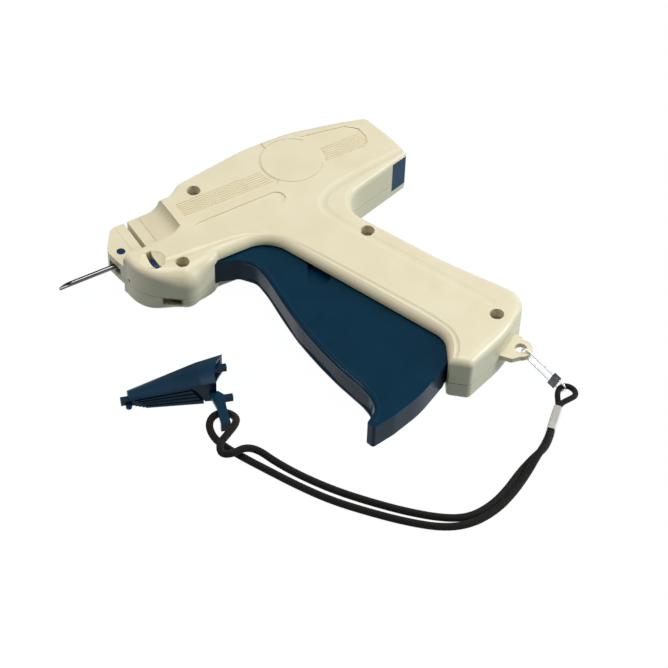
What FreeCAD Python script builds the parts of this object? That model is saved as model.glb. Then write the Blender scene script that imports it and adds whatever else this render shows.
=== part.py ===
import FreeCAD, Part
import math
import os

# Garment tag attacher: a hand tool lying on its side. It pushes plastic fasteners through a slotted needle.
# Millimetres. +X runs from the needle to the rear, +Y from the grip to the top of the tool, +Z up through its
# thickness. The origin is on the lower side face, under the trigger's pivot.

Vec = FreeCAD.Vector
UP = Vec(0, 0, 1)
ALONG_X = Vec(1, 0, 0)

# ---------------------------------------------------------------- driving dimensions: housings
THICKNESS = 25.4            # across both housings
PARTING_Z = 9.9             # where the housings meet
WALL = 2.2                  # side walls of the housings
SKIN = 2.4                  # the two large faces of the housings
LOWER_EDGE = 2.6            # rounding of the lower housing's outer edge
SEAM_GROOVE = 0.35          # the fine groove at the parting line
RUNNING = 0.06              # radial clearance of a pin that turns or slides in its hole
GAP = 0.4                   # clearance between a moving piece and what it passes

FAR = 250.0                 # more than the reach of the whole tool, for cuts that go right through

# Side outline of the housings: corners (x, y, radius), anticlockwise from the front of the nose.
NOSE_FRONT = -21.6
BODY_REAR = 134.4
BODY_TOP = 55.6
RIDGE = (-1.1, -11.9)
RIDGE_BLEND = 9.0           # the housings' edges are rounded this much at the ridge
GRIP_TOE = (75.0, -116.3)   # front corner of the grip's foot
HOUSING_OUTLINE = [
    (NOSE_FRONT, 3.9, 20),
    (*RIDGE, 8),
    (14.6, -5.0, 1.2),
    (17.6, -3.0, 3),
    (45.2, -3.0, 16.4),
    (GRIP_TOE[0] + 8.4, GRIP_TOE[1] + 15.2, 12),
    (*GRIP_TOE, 1.5),
    (GRIP_TOE[0] + 8.0, GRIP_TOE[1] - 7.1, 3),
    (GRIP_TOE[0] + 33.0, GRIP_TOE[1] + 1.1, 60),
    (GRIP_TOE[0] + 55.9, GRIP_TOE[1] + 15.9, 11.5),
    (110.0, -61.0, 150),
    (85.0, -1.3, 14),
    (BODY_REAR, 12.3, 1.5),
    (BODY_REAR + 0.5, 22.0, 40),
    (BODY_REAR - 3.4, BODY_TOP - 10.2, 3.5),
    (BODY_REAR - 17.4, BODY_TOP - 6.0, 60),
    (90.0, BODY_TOP, 60),
    (64.0, BODY_TOP + 0.3, 60),
    (24.0, BODY_TOP - 6.0, 6),
    (16.5, 44.2, 8),
    (-16.6, 43.4, 6),
    (-24.9, 30.5, 8),
    (-23.6, 21.0, 6),
    (-22.4, 15.0, 10),
]
# Rounding of the upper housing's edge near each of these places: it swells at the ridge and the finger side.
UPPER_EDGE = [
    ((NOSE_FRONT, 12.0), 3.0),
    ((-17.0, 0.0), 5.0),
    (RIDGE, RIDGE_BLEND),
    ((14.6, -5.0), 5.0),
    ((45.2, -3.0), 5.0),
    ((GRIP_TOE[0] + 8.4, GRIP_TOE[1] + 15.2), 5.0),
    (GRIP_TOE, 4.0),
    ((GRIP_TOE[0] + 55.9, GRIP_TOE[1] + 15.9), 4.0),
    ((85.0, -1.3), 4.0),
    ((BODY_REAR, 12.3), 3.0),
    ((BODY_REAR - 3.4, BODY_TOP - 10.2), 3.0),
    ((90.0, BODY_TOP), 3.0),
    ((24.0, BODY_TOP - 6.0), 3.0),
    ((-16.6, 43.4), 3.0),
]

# The same for the lower housing's edge.
LOWER_EDGES = [
    ((NOSE_FRONT, 12.0), LOWER_EDGE),
    ((-14.0, -3.0), 4.0),
    (RIDGE, RIDGE_BLEND - 1.0),
    ((16.0, -4.0), 3.5),
    ((45.2, -3.0), LOWER_EDGE),
    ((90.0, BODY_TOP), LOWER_EDGE),
    ((GRIP_TOE[0] + 30.0, GRIP_TOE[1]), LOWER_EDGE),
]

# ---------------------------------------------------------------- reliefs in the upper face
# A valley runs along the finger side and leaves a bead at the edge; a softer one runs along the rear side.
FINGER_VALLEY = [(-8.0, 4.9), (10.0, 3.6), (30.0, 2.4), (40.4, -0.8), (48.6, -7.6), (55.2, -20.6),
                 (63.4, -40.4), (74.4, -67.2), (83.2, -89.6), (86.2, -101.6), (83.6, -110.6), (76.0, -118.5)]
FINGER_VALLEY_RADIUS = 2.6
FINGER_VALLEY_DEPTH = 0.55
REAR_VALLEY = [(BODY_REAR + 4.0, 15.2), (108.0, 12.2), (86.5, 8.9), (76.6, 1.4), (78.4, -10.5), (87.5, -34.0),
               (98.0, -59.0), (107.0, -82.0), (113.0, -97.0)]
REAR_VALLEY_RADIUS = 8.0
REAR_VALLEY_DEPTH = 0.4
ROUND_PAD = (81.3, 35.7)    # round pad on the barrel's side, in front of the rear panel
ROUND_PAD_RADIUS = 15.4
PAD_GROOVE = 0.6
PANEL_DEPTH = 0.5
FRONT_PANEL = [(14.5, 24.0), (67.0, 24.0), (74.0, 34.0), (74.5, BODY_TOP + 3.0), (14.5, BODY_TOP + 3.0)]
REAR_PANEL = [(93.0, 26.2), (BODY_REAR - 17.2, 26.2), (BODY_REAR - 13.0, 28.4), (BODY_REAR - 11.4, 33.0),
              (BODY_REAR - 11.8, 39.5), (BODY_REAR - 17.0, BODY_TOP - 11.0), (94.0, BODY_TOP - 7.0)]
RIB_PITCH = 1.45            # fine grip ribs along both panels
RIB_WIDTH = 0.7
RIB_HEIGHT = 0.35
RIB_COUNT = 7
RIB_FIRST_Y = 27.3
PILL = ((20.3, 15.0), (60.8, 15.6))
PILL_HALF = 4.7
PILL_DEPTH = 0.6

# ---------------------------------------------------------------- nose
NOSE_PLATE_LOW = 7.0        # the nose's front block is a plate between these heights
NOSE_PLATE_HIGH = 18.4
NOSE_STEP = [(-30.0, 16.9), (-4.0, 17.9), (5.0, 18.6), (13.0, 23.5)]   # foot of the step up to the dish
SADDLE_X = 4.0              # where the flat of the plate starts to sweep up to the barrel
SADDLE_RADIUS = 7.0
NOSE_LINES = [(-14.2, 0.2), (-1.2, 0.35)]   # fine grooves across the plate: place and size
NOSE_VENT = (13.0, 12.0, 1.1)               # small hole in the front wall: y, z and radius
SLIT_X = (-9.1, -7.0)       # fastener slit
SLIT_FLOOR_Y = 21.0
AXIS_Y = 24.7               # needle and plunger axis
AXIS_Z = 12.7

# ---------------------------------------------------------------- needle
NEEDLE_TIP_X = -53.4
NEEDLE_RADIUS = 1.25
NEEDLE_BORE = 0.9
NEEDLE_SLOT = 0.7
NEEDLE_BEVEL = 6.5
NEEDLE_TAIL_X = -11.5
NEEDLE_NECK_X = -25.2       # behind this the tube is drawn down where its base holds it
NEEDLE_NECK = 1.15
BASE_X = (-22.8, -12.4)     # plastic base that the needle is moulded into
BASE_Y = (19.8, 28.6)
BASE_Z = (10.2, 14.4)
LOCK_PIN = (-19.1, 27.0)    # needle-lock button
LOCK_RADIUS = 2.1
LOCK_FLANGE = 0.7
LOCK_TRAVEL = 1.0
LOCK_COIL = 1.75            # radius of the coil under the button
LOCK_RECESS = 0.8           # depth of the ring recess that the coil sits in
LOCK_PROUD = 0.3

# ---------------------------------------------------------------- feed wheel
WHEEL_X = -11.2
WHEEL_Y = 8.0
WHEEL_Z = 17.0
WHEEL_RADIUS = 6.2
WHEEL_WIDTH = 2.3
WHEEL_TEETH = 10
WHEEL_TOOTH = 0.9
WHEEL_AXLE = 1.0
WHEEL_AXLE_HALF = 3.4
DISH_RADIUS = 6.3
DISH_DEPTH = 2.6
CUTTER_X = (-10.4, -9.3)    # blade beside the slit, just under the plunger's path
CUTTER_Y = (17.4, 23.4)
CUTTER_Z = (10.0, 15.4)
CHECK_X = (-12.0, -10.4)    # flat spring that keeps the wheel from turning back
CHECK_Y = (14.9, 15.5)
CHECK_Z = (10.0, 20.5)
FEED_PAWL_Z = (15.4, 16.8)  # finger on the trigger's eye that turns the wheel
FEED_PAWL_REACH = 9.3
FEED_PAWL_ANGLE = 143.0
WHEEL_SLOT = 0.3            # gap between the wheel and its slot in the dish, each side
WINDOW_X = (-12.6, -4.6)    # exit window for the spent runner
WINDOW_Z = (5.0, 9.6)

# ---------------------------------------------------------------- screws
SCREWS = [(0.0, 0.0), (28.5, 41.0), (87.6, -25.6), (GRIP_TOE[0] + 35.4, GRIP_TOE[1] + 13.2)]
SCREW_HEAD_RADIUS = 3.0
SCREW_HEAD_HEIGHT = 2.2
SCREW_SHANK = 1.5
SCREW_LENGTH = 13.0
SCREW_FIT = 0.03            # gap between screw and housing
COUNTERBORE = 3.4
COUNTERBORE_DEPTH = 7.0
BOSS_WALL = 1.4

# ---------------------------------------------------------------- trigger
TRIGGER_Z = (6.0, 19.4)
TRIGGER_CHEEK = 1.7
TRIGGER_FACE = 2.4          # thickness of the wall under the fingers
TRIGGER_TRAVEL = 18.0       # degrees
EYE_RADIUS = 6.4
EYE_Z = (6.0, 15.0)
TRIGGER_FOOT = (26.4, -129.8)   # tip of the trigger's toe
BEAD_RADIUS = 1.7           # rounded bead along the finger side of both cheeks
BEAD_HEIGHT = 0.5
POCKET_FLOOR = 1.1          # floor of the sunk track that the pivot's boss runs in
POCKET_WALL = 1.4
TRIGGER_OUTLINE = [
    (-5.0, 0.0, 4),
    (0.0, -6.4, 4),
    (14.0, -1.9, 3),
    (19.4, -4.3, 1),
    (27.0, -6.9, 6),
    (32.6, -14.4, 7),
    (32.7, -25.0, 40),
    (30.0, -57.0, 60),
    (32.3, -90.0, 60),
    (TRIGGER_FOOT[0] + 9.6, TRIGGER_FOOT[1] + 17.6, 7),
    (TRIGGER_FOOT[0] + 6.0, TRIGGER_FOOT[1] + 8.6, 6),
    (TRIGGER_FOOT[0] - 1.0, TRIGGER_FOOT[1] + 4.2, 0.8),
    (*TRIGGER_FOOT, 1.4),
    (TRIGGER_FOOT[0] + 12.4, TRIGGER_FOOT[1] + 1.8, 20),
    (55.5, -123.6, 60),
    (73.6, -114.9, 1),
    (78.0, -111.8, 2),
    (82.6, -106.5, 5),
    (84.2, -97.5, 8),
    (82.2, -85.0, 20),
    (76.2, -61.5, 2),
    (67.6, -53.2, 2),
    (79.8, -31.5, 3),
    (74.6, -27.5, 3),
    (62.0, -30.0, 3),
    (58.0, -14.0, 3),
    (48.0, -2.0, 10),
    (30.0, 2.2, 20),
    (0.0, 6.4, 5),
]
BEAD_ROUTE = [
    (30.2, -8.6),
    (34.0, -14.6),
    (34.0, -26.0),
    (32.4, -41.0),
    (31.4, -58.0),
    (32.1, -76.0),
    (33.8, -92.0),
    (36.4, -105.0),
    (TRIGGER_FOOT[0] + 10.2, TRIGGER_FOOT[1] + 15.6),
    (TRIGGER_FOOT[0] + 7.6, TRIGGER_FOOT[1] + 8.2),
    (TRIGGER_FOOT[0] + 2.6, TRIGGER_FOOT[1] + 3.6),
]

# ---------------------------------------------------------------- drive lever
LEVER_PIVOT = (62.5, -17.6)
LEVER_SHORT = 18.0          # pivot to the trigger's slot
LEVER_LONG = 33.5           # pivot to the slider's slot
LEVER_TURN = 86.8           # degrees over the trigger's travel
LEVER_Z = (10.0, 15.4)
LEVER_PIN = 1.5
LEVER_PIVOT_PIN = 2.0
PIVOT_PIN_LOW = 3.1
LEVER_HUB = 4.6
LEVER_COLLAR = 3.6          # collar of the pivot pin under the lever
LEVER_END = 2.6
LINK_SLACK = 0.6            # play of the lower pin in the trigger's slot, each side
DRIVE_SLACK = 1.2           # play of the upper pin in the slider's legs, each side
PIVOT_BOSS = 4.5
PIVOT_SLOT = 5.5            # half width of the upper cheek's arc slot round the pivot boss
PIN_SLOT = 2.6              # half width of the lower cheek's arc slot round the pivot pin

# ---------------------------------------------------------------- slider and plunger
SLIDER_LENGTH = 17.0
SLIDER_Y = (19.2, 30.2)
SLIDER_Z = (8.2, 17.2)
SLIDER_LEG = 1.4            # thickness of the two legs that straddle the lever
LEG_HALF = 4.4
KEEL_WIDTH = 3.6
KEEL_HEIGHT = 1.5
RAIL_WIDTH = 1.2
RAIL_X = (34.0, 98.0)
PLUNGER_RADIUS = 0.82
PLUNGER_TIP_X = -3.5
SPRING_RADIUS = 2.2
SPRING_WIRE = 0.35
SPRING_TURNS = 12
ANCHOR_X = BODY_REAR - 14.4     # front face of the rib that holds the spring's rear end
ANCHOR_RIB = 2.0
BUFFER_LENGTH = 3.5
BUFFER_Y = (28.3, 31.3)

# ---------------------------------------------------------------- rear cap
CAP_X = BODY_REAR - 10.0
CAP_Y = (0.0, 48.0)
CAP_Z = (5.0, 23.0)
CAP_WALL = 2.4

# ---------------------------------------------------------------- needle guard, lying beside the tool
GUARD_AT = (-54.1, -45.5)   # middle of its narrow end
GUARD_TURN = -17.6          # degrees
# Arched sections along the guard: distance from the narrow end, half width, height of side and arch.
GUARD_SECTIONS = [(0.0, 3.3, 4.2, 5.6), (33.0, 7.1, 11.6, 13.0), (46.0, 8.6, 12.7, 14.3)]
GUARD_WALL = 1.3
GUARD_NEAR_WALL = 2.5       # the side that carries the ledges is thicker
GUARD_BLIND = 4.0           # the hollow starts this far from the narrow end
GUARD_SADDLE = ((60.0, -6.0), 20.0)    # upright round cut that hollows the mouth's rim
GUARD_PANEL = [(-1.0, 4.0), (28.0, 10.0), (31.5, 7.0), (35.0, 0.0), (-1.0, 0.0)]
GUARD_PANEL_DEPTH = 1.2
GUARD_LEDGES = 5
GUARD_LEDGE_STEP = 0.5
GUARD_LEDGE_START = 1.2
GUARD_LEDGE_PITCH = 1.6     # each ledge starts this much further from the narrow end than the one above
# Prongs at the mouth and the nub at the narrow end, as ranges along, across and up.
FAR_PRONG = ((36.0, 47.2), (2.8, 5.2), (7.0, 10.0))
FAR_PRONG_ROOT = ((36.0, 43.5), (2.8, 7.6), (7.0, 10.0))
NEAR_PRONG = ((40.0, 47.3), (-11.4, -9.0), (1.8, 4.7))
NUB = ((-3.7, 0.8), (-2.8, 0.2), (1.0, 4.0))
NUB_BOSS = ((-0.2, -3.4), 1.5, 1.6)
TAB_ROOT = [(36.5, -7.0), (38.3, -16.5), (42.8, -16.5), (43.5, -10.0), (41.0, -7.0)]
TAB_U = (38.3, 42.8)        # strip that the cord passes under
TAB_V = (-27.0, -16.0)
TAB_Z = (3.9, 5.6)
TAB_FOOT = 1.6              # length of the strip's foot

# ---------------------------------------------------------------- lug and lanyard
LUG = (GRIP_TOE[0] + 40.5, GRIP_TOE[1] - 1.0)
# Corners of the web between the ring and the grip, from the ring's middle.
LUG_NECK = [(-11.5, 1.3), (-7.5, -3.7), (-1.5, -4.9), (4.5, 5.3), (2.5, 11.3), (-9.5, 5.3)]
LUG_OUTER = 5.6
LUG_HOLE = 2.9
LUG_Z = (9.9, 12.6)
CLASP_WIRE = 0.55
CLASP_HALF_WIDTH = 2.6
CLASP_LENGTH = 22.0
CORD = 3.6                  # diameter of the long cord
LOOP_CORD = 2.8             # diameter of the short loop
FERRULE = ((112.7, -152.4), (101.9, -161.9))
FERRULE_WALL = 0.4
# Routes of the cord's middle line. The long cord runs from the ferrule to the guard's tab and back.
STRAND_Z = CORD / 2
OVER_Z = CORD * 1.5 + 0.5
TETHER_ROUTE = [
    (101.787, -161.999, OVER_Z),
    (97.02, -166.19, OVER_Z),
    (88.4, -169.8, 4.6),
    (79.6, -173.0, 2.4),
    (69.0, -178.6, STRAND_Z),
    (56.0, -184.6, STRAND_Z),
    (43.5, -186.6, STRAND_Z),
    (31.0, -182.0, STRAND_Z),
    (18.6, -171.0, STRAND_Z),
    (6.0, -156.6, STRAND_Z),
    (-4.2, -143.4, STRAND_Z),
    (-12.4, -129.2, STRAND_Z),
    (-19.6, -114.6, STRAND_Z),
    (-25.0, -103.4, STRAND_Z),
    (-29.3, -93.6, STRAND_Z),
    (-31.4, -85.4, STRAND_Z),
    (-29.6, -77.4, STRAND_Z),
    (-24.4, -73.4, STRAND_Z),
    (-18.4, -75.0, STRAND_Z),
    (-16.6, -81.0, 2.8),
    (-20.4, -86.6, OVER_Z),
    (-26.4, -90.0, OVER_Z + 0.2),
    (-32.4, -93.0, OVER_Z),
    (-34.4, -98.0, 4.8),
    (-30.4, -101.2, OVER_Z),
    (-23.6, -100.8, OVER_Z + 0.2),
    (-18.2, -103.6, 4.0),
    (-14.2, -112.0, STRAND_Z),
    (-8.0, -125.6, STRAND_Z),
    (0.6, -140.0, STRAND_Z),
    (10.6, -153.2, STRAND_Z),
    (22.0, -166.4, STRAND_Z),
    (33.6, -177.2, STRAND_Z),
    (45.0, -182.0, STRAND_Z),
    (57.0, -179.8, STRAND_Z),
    (69.0, -173.6, STRAND_Z),
    (80.6, -168.6, STRAND_Z),
    (90.4, -168.4, STRAND_Z),
    (97.02, -166.19, STRAND_Z),
    (101.787, -161.999, STRAND_Z),
]
LOOP_Z = LOOP_CORD / 2
LOOP_ROUTE = [
    (112.813, -152.301, LOOP_Z),
    (115.1, -150.29, LOOP_Z),
    (117.5, -146.6, 2.0),
    (119.6, -142.6, 3.2),
    (123.0, -140.4, 3.7),
    (126.6, -141.6, 3.3),
    (128.2, -145.0, 2.6),
    (126.2, -148.4, 3.2),
    (121.4, -149.4, LOOP_Z + LOOP_CORD + 0.2),
    (115.7, -149.76, LOOP_Z + LOOP_CORD + 0.4),
    (112.813, -152.301, LOOP_Z + LOOP_CORD + 0.4),
]


# ================================================================ shape helpers
def fused(solids):
    """All solids as one, with the seams between coplanar faces removed."""
    return solids[0].multiFuse(solids[1:]).removeSplitter()


def rounded_wire(corners, z=0.0):
    """Closed wire through corners (x, y, radius), each rounded by a tangent arc."""
    points = [Vec(x, y, z) for x, y, radius in corners]
    stretches = []
    for index, (x, y, radius) in enumerate(corners):
        here = points[index]
        back = (points[index - 1] - here).normalize()
        ahead = (points[(index + 1) % len(points)] - here).normalize()
        half = back.getAngle(ahead) / 2
        run = radius / math.tan(half)
        middle = here + (back + ahead).normalize() * (radius / math.sin(half) - radius)
        stretches.append((here + back * run, middle, here + ahead * run))
    edges = []
    for index, (first, middle, last) in enumerate(stretches):
        if first.distanceToPoint(last) > 1e-6:
            edges.append(Part.Arc(first, middle, last).toShape())
        following = stretches[(index + 1) % len(stretches)][0]
        edges.append(Part.LineSegment(last, following).toShape())
    return Part.Wire(edges)


def prism(corners, low, high, inset=0.0):
    """Upright solid on a rounded outline, drawn in by inset, between two heights."""
    wire = rounded_wire(corners, low)
    if inset:
        wire = wire.makeOffset2D(-inset)
    return Part.Face(wire).extrude(UP * (high - low))


def box(x, y, z):
    """Box between the two values of each pair."""
    return Part.makeBox(x[1] - x[0], y[1] - y[0], z[1] - z[0], Vec(x[0], y[0], z[0]))


def disc(centre, radius, low, high):
    """Upright cylinder."""
    return Part.makeCylinder(radius, high - low, Vec(centre[0], centre[1], low))


def bar(start, end, radius):
    """Cylinder between two points."""
    return Part.makeCylinder(radius, (end - start).Length, start, end - start)


def slab(start, end, half_width, low, high):
    """Upright plate with round ends between two plan points."""
    first = Vec(start[0], start[1], low)
    last = Vec(end[0], end[1], low)
    side = (last - first).cross(UP).normalize() * half_width
    web = Part.Face(Part.makePolygon([first + side, last + side, last - side, first - side, first + side]))
    ends = [disc(start, half_width, low, high), disc(end, half_width, low, high)]
    return fused([web.extrude(UP * (high - low))] + ends)


def polar(centre, radius, degrees):
    """Plan point at a radius and angle from a centre."""
    angle = math.radians(degrees)
    return (centre[0] + radius * math.cos(angle), centre[1] + radius * math.sin(angle))


def sector(radii, degrees, low, high):
    """Upright ring sector about the origin, between two radii and two angles."""
    ring = disc((0, 0), radii[1], low, high).cut(disc((0, 0), radii[0], low, high))
    reach = radii[1] * 2
    wedge = [Vec(0, 0, low)]
    for share in (0.0, 0.5, 1.0):
        x, y = polar((0, 0), reach, degrees[0] + (degrees[1] - degrees[0]) * share)
        wedge.append(Vec(x, y, low))
    wedge.append(wedge[0])
    return ring.common(Part.Face(Part.makePolygon(wedge)).extrude(UP * (high - low)))


def edges_at(solid, z):
    """Edges that lie in the plane at height z."""
    found = []
    for edge in solid.Edges:
        bounds = edge.BoundBox
        if abs(bounds.ZMin - z) < 1e-5 and abs(bounds.ZMax - z) < 1e-5:
            found.append(edge)
    return found


def swelling_fillet(solid, z, places):
    """Round the edges at height z; the radius at a vertex is that of the nearest place."""
    def radius_at(point):
        return min(places, key=lambda place: math.dist(place[0], (point.x, point.y)))[1]

    document = FreeCAD.newDocument("rounding")
    source = document.addObject("Part::Feature", "source")
    source.Shape = solid
    blend = document.addObject("Part::Fillet", "blend")
    blend.Base = source
    chosen = []
    for index, edge in enumerate(solid.Edges, 1):
        bounds = edge.BoundBox
        if abs(bounds.ZMin - z) < 1e-5 and abs(bounds.ZMax - z) < 1e-5:
            first = radius_at(edge.valueAt(edge.FirstParameter))
            last = radius_at(edge.valueAt(edge.LastParameter))
            chosen.append((index, first, last))
    blend.Edges = chosen
    document.recompute()
    rounded = blend.Shape.copy()
    FreeCAD.closeDocument(document.Name)
    return rounded


def smooth_path(points):
    """Straight runs joined by tangent arcs as large as they allow, and the smallest radius."""
    vectors = [Vec(*point) for point in points]
    edges = []
    start = vectors[0]
    smallest = None
    for before, here, after in zip(vectors, vectors[1:], vectors[2:]):
        back = before - here
        ahead = after - here
        run = 0.45 * min(back.Length, ahead.Length)
        half = back.getAngle(ahead) / 2
        bend = run * math.tan(half)
        smallest = bend if smallest is None else min(smallest, bend)
        back.normalize()
        ahead.normalize()
        middle = here + (back + ahead).normalize() * (bend / math.sin(half) - bend)
        edges.append(Part.LineSegment(start, here + back * run).toShape())
        edges.append(Part.Arc(here + back * run, middle, here + ahead * run).toShape())
        start = here + ahead * run
    edges.append(Part.LineSegment(start, vectors[-1]).toShape())
    return Part.Wire(edges), smallest


def swept(points, radius):
    """Round bar along a smooth path, with the path's length and smallest bend."""
    path, smallest = smooth_path(points)
    start = Vec(*points[0])
    section = Part.Wire([Part.makeCircle(radius, start, Vec(*points[1]) - start)])
    return path.makePipeShell([section], True, False), path, smallest


def tube(points, radius):
    """Cord along a smooth path; prints what its route comes to."""
    solid, path, smallest = swept(points, radius)
    share = solid.Volume / (math.pi * radius ** 2 * path.Length)
    print("cord: length", round(path.Length, 1), "smallest radius", round(smallest, 1),
          "fill", round(share, 4))
    return solid


# ================================================================ housings
def plan_face(points, low, high):
    """Upright solid on a straight-sided outline."""
    wire = Part.makePolygon([Vec(x, y, low) for x, y in points] + [Vec(*points[0], low)])
    return Part.Face(wire).extrude(UP * (high - low))


def nose_relief(face_z, outer_z):
    """What is taken off one side of the nose: flat over the plate, then sweeping up to the barrel."""
    low = min(face_z, outer_z)
    high = max(face_z, outer_z)
    top_y = 60.0
    flat = plan_face(NOSE_STEP + [(13.0, top_y), (-30.0, top_y)], low, high)
    keep_z = outer_z
    sweep = Part.makeCylinder(SADDLE_RADIUS, top_y, Vec(SADDLE_X, 0, keep_z), Vec(0, 1, 0))
    reach = Part.makeBox(SADDLE_X + 30.0, top_y, high - low, Vec(-30.0, 0, low))
    return flat.common(sweep.fuse(reach))


def housing_body():
    """Both housings as one solid, before the cavity and the parting."""
    body = prism(HOUSING_OUTLINE, 0.0, THICKNESS)
    body = swelling_fillet(body, THICKNESS, UPPER_EDGE)
    body = swelling_fillet(body, 0.0, LOWER_EDGES)
    body = body.cut(nose_relief(NOSE_PLATE_HIGH, NOSE_PLATE_HIGH + SADDLE_RADIUS))
    body = body.cut(nose_relief(NOSE_PLATE_LOW, NOSE_PLATE_LOW - SADDLE_RADIUS))
    for relief in face_reliefs():
        body = body.cut(relief)
    slit = box(SLIT_X, (SLIT_FLOOR_Y, FAR), (NOSE_PLATE_LOW - 1, NOSE_PLATE_HIGH + 1))
    seam = (PARTING_Z - SEAM_GROOVE / 2, PARTING_Z + SEAM_GROOVE / 2)
    ring = prism(HOUSING_OUTLINE, *seam).cut(prism(HOUSING_OUTLINE, *seam, SEAM_GROOVE))
    return body.cut(slit).cut(ring)


def valley(route, radius, depth):
    """Shallow round valley along a route in the upper face."""
    return swept([(x, y, THICKNESS + radius - depth) for x, y in route], radius)[0]


def ribbed_panel(corners):
    """Sunk panel beside the round pad, with fine ribs standing on its floor."""
    floor = THICKNESS - PANEL_DEPTH
    panel = plan_face(corners, floor, THICKNESS + 1)
    panel = panel.cut(disc(ROUND_PAD, ROUND_PAD_RADIUS + PAD_GROOVE, floor, THICKNESS + 1))
    left = min(x for x, y in corners) + 2.0
    right = max(x for x, y in corners) - 2.0
    ribs = []
    for index in range(RIB_COUNT):
        y = RIB_FIRST_Y + RIB_PITCH * index
        ribs.append(box((left, right), (y, y + RIB_WIDTH), (floor, floor + RIB_HEIGHT)))
    clear = disc(ROUND_PAD, ROUND_PAD_RADIUS + PAD_GROOVE + 1.5, floor, THICKNESS + 1)
    for rib in ribs:
        panel = panel.cut(rib.cut(clear))
    return panel


def face_reliefs():
    """Everything that is sunk into the upper face and the nose plate."""
    pad_floor = THICKNESS - PAD_GROOVE / 2
    pad_line = disc(ROUND_PAD, ROUND_PAD_RADIUS + PAD_GROOVE, pad_floor, THICKNESS + 1)
    reliefs = [
        valley(FINGER_VALLEY, FINGER_VALLEY_RADIUS, FINGER_VALLEY_DEPTH),
        valley(REAR_VALLEY, REAR_VALLEY_RADIUS, REAR_VALLEY_DEPTH),
        ribbed_panel(FRONT_PANEL),
        ribbed_panel(REAR_PANEL),
        pad_line.cut(disc(ROUND_PAD, ROUND_PAD_RADIUS, pad_floor, THICKNESS + 1)),
        slab(*PILL, PILL_HALF, THICKNESS - PILL_DEPTH, THICKNESS + 1),
        bar(Vec(NOSE_FRONT - 5, *NOSE_VENT[:2]), Vec(NOSE_FRONT + 2, *NOSE_VENT[:2]), NOSE_VENT[2]),
    ]
    for x, size in NOSE_LINES:
        reliefs.append(box((x, x + size), (AXIS_Y, FAR), (NOSE_PLATE_HIGH - size, NOSE_PLATE_HIGH + 1)))
    return reliefs


def cavity():
    """The hollow behind the nose, with its upper edge blended."""
    hollow = prism(HOUSING_OUTLINE, SKIN, THICKNESS - SKIN, WALL)
    eye_side = box((-EYE_RADIUS - 1.0, FAR), (-FAR, NOSE_STEP[1][1] - WALL), (0.0, THICKNESS))
    barrel_side = box((SADDLE_X + SADDLE_RADIUS + WALL, FAR), (-EYE_RADIUS, FAR), (0.0, THICKNESS))
    return hollow.common(eye_side.fuse(barrel_side))


def lug():
    """Ring on the foot of the grip, with the neck that joins it."""
    ring = disc(LUG, LUG_OUTER, *LUG_Z)
    neck = plan_face([(LUG[0] + x, LUG[1] + y) for x, y in LUG_NECK], *LUG_Z)
    solid = fused([ring, neck])
    return solid.cut(disc(LUG, LUG_HOLE, *LUG_Z))


def trigger_opening():
    """The slot in the finger side that the trigger moves through."""
    low = TRIGGER_Z[0] - BEAD_HEIGHT - GAP
    high = TRIGGER_Z[1] + BEAD_HEIGHT + GAP
    foot_x, foot_y = GRIP_TOE
    head = [(0.0, -FAR), (12.0, -12.0), (14.6, -12.0), (14.6, 4.0), (48.0, 2.0), (62.0, -12.0)]
    foot = [(foot_x + 17.0, foot_y + 20.3), (foot_x + 11.0, foot_y + 6.3), (foot_x + 0.6, foot_y + 1.7),
            (foot_x - 5.0, -FAR)]
    return plan_face(head + foot, low, high)


def rear_opening():
    """The mouth that the rear cap closes."""
    return box((CAP_X, FAR), CAP_Y, CAP_Z)


def screw_seat_z():
    return THICKNESS - COUNTERBORE_DEPTH


def bosses():
    """Upper and lower screw bosses, and the bosses of the lever's pivot."""
    upper = []
    lower = []
    for place in SCREWS:
        upper.append(disc(place, COUNTERBORE + BOSS_WALL, screw_seat_z() - BOSS_WALL, THICKNESS - SKIN))
        upper.append(disc(place, SCREW_SHANK + BOSS_WALL, PARTING_Z, screw_seat_z()))
        lower.append(disc(place, SCREW_SHANK + BOSS_WALL, SKIN, PARTING_Z))
    upper.append(disc(LEVER_PIVOT, PIVOT_BOSS, pocket_floor_z() + GAP, THICKNESS - SKIN))
    lower.append(disc(LEVER_PIVOT, PIVOT_BOSS, SKIN, TRIGGER_Z[0] - GAP))
    rib_x = (ANCHOR_X, ANCHOR_X + ANCHOR_RIB)
    rib_y = (AXIS_Y - 5.0, AXIS_Y + 5.0)
    lower.append(box(rib_x, rib_y, (SKIN, PARTING_Z)))
    upper.append(box(rib_x, rib_y, (PARTING_Z, THICKNESS - SKIN)))
    lower.append(box((buffer_x()[1], buffer_x()[1] + 2.5), BUFFER_Y, (SKIN, PARTING_Z)))
    return upper, lower


def rails(low, high):
    """Pair of rails that guide the slider's keel."""
    half = KEEL_WIDTH / 2 + GAP / 2
    return [
        box(RAIL_X, (AXIS_Y - half - RAIL_WIDTH, AXIS_Y - half), (low, high)),
        box(RAIL_X, (AXIS_Y + half, AXIS_Y + half + RAIL_WIDTH), (low, high)),
    ]


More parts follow.
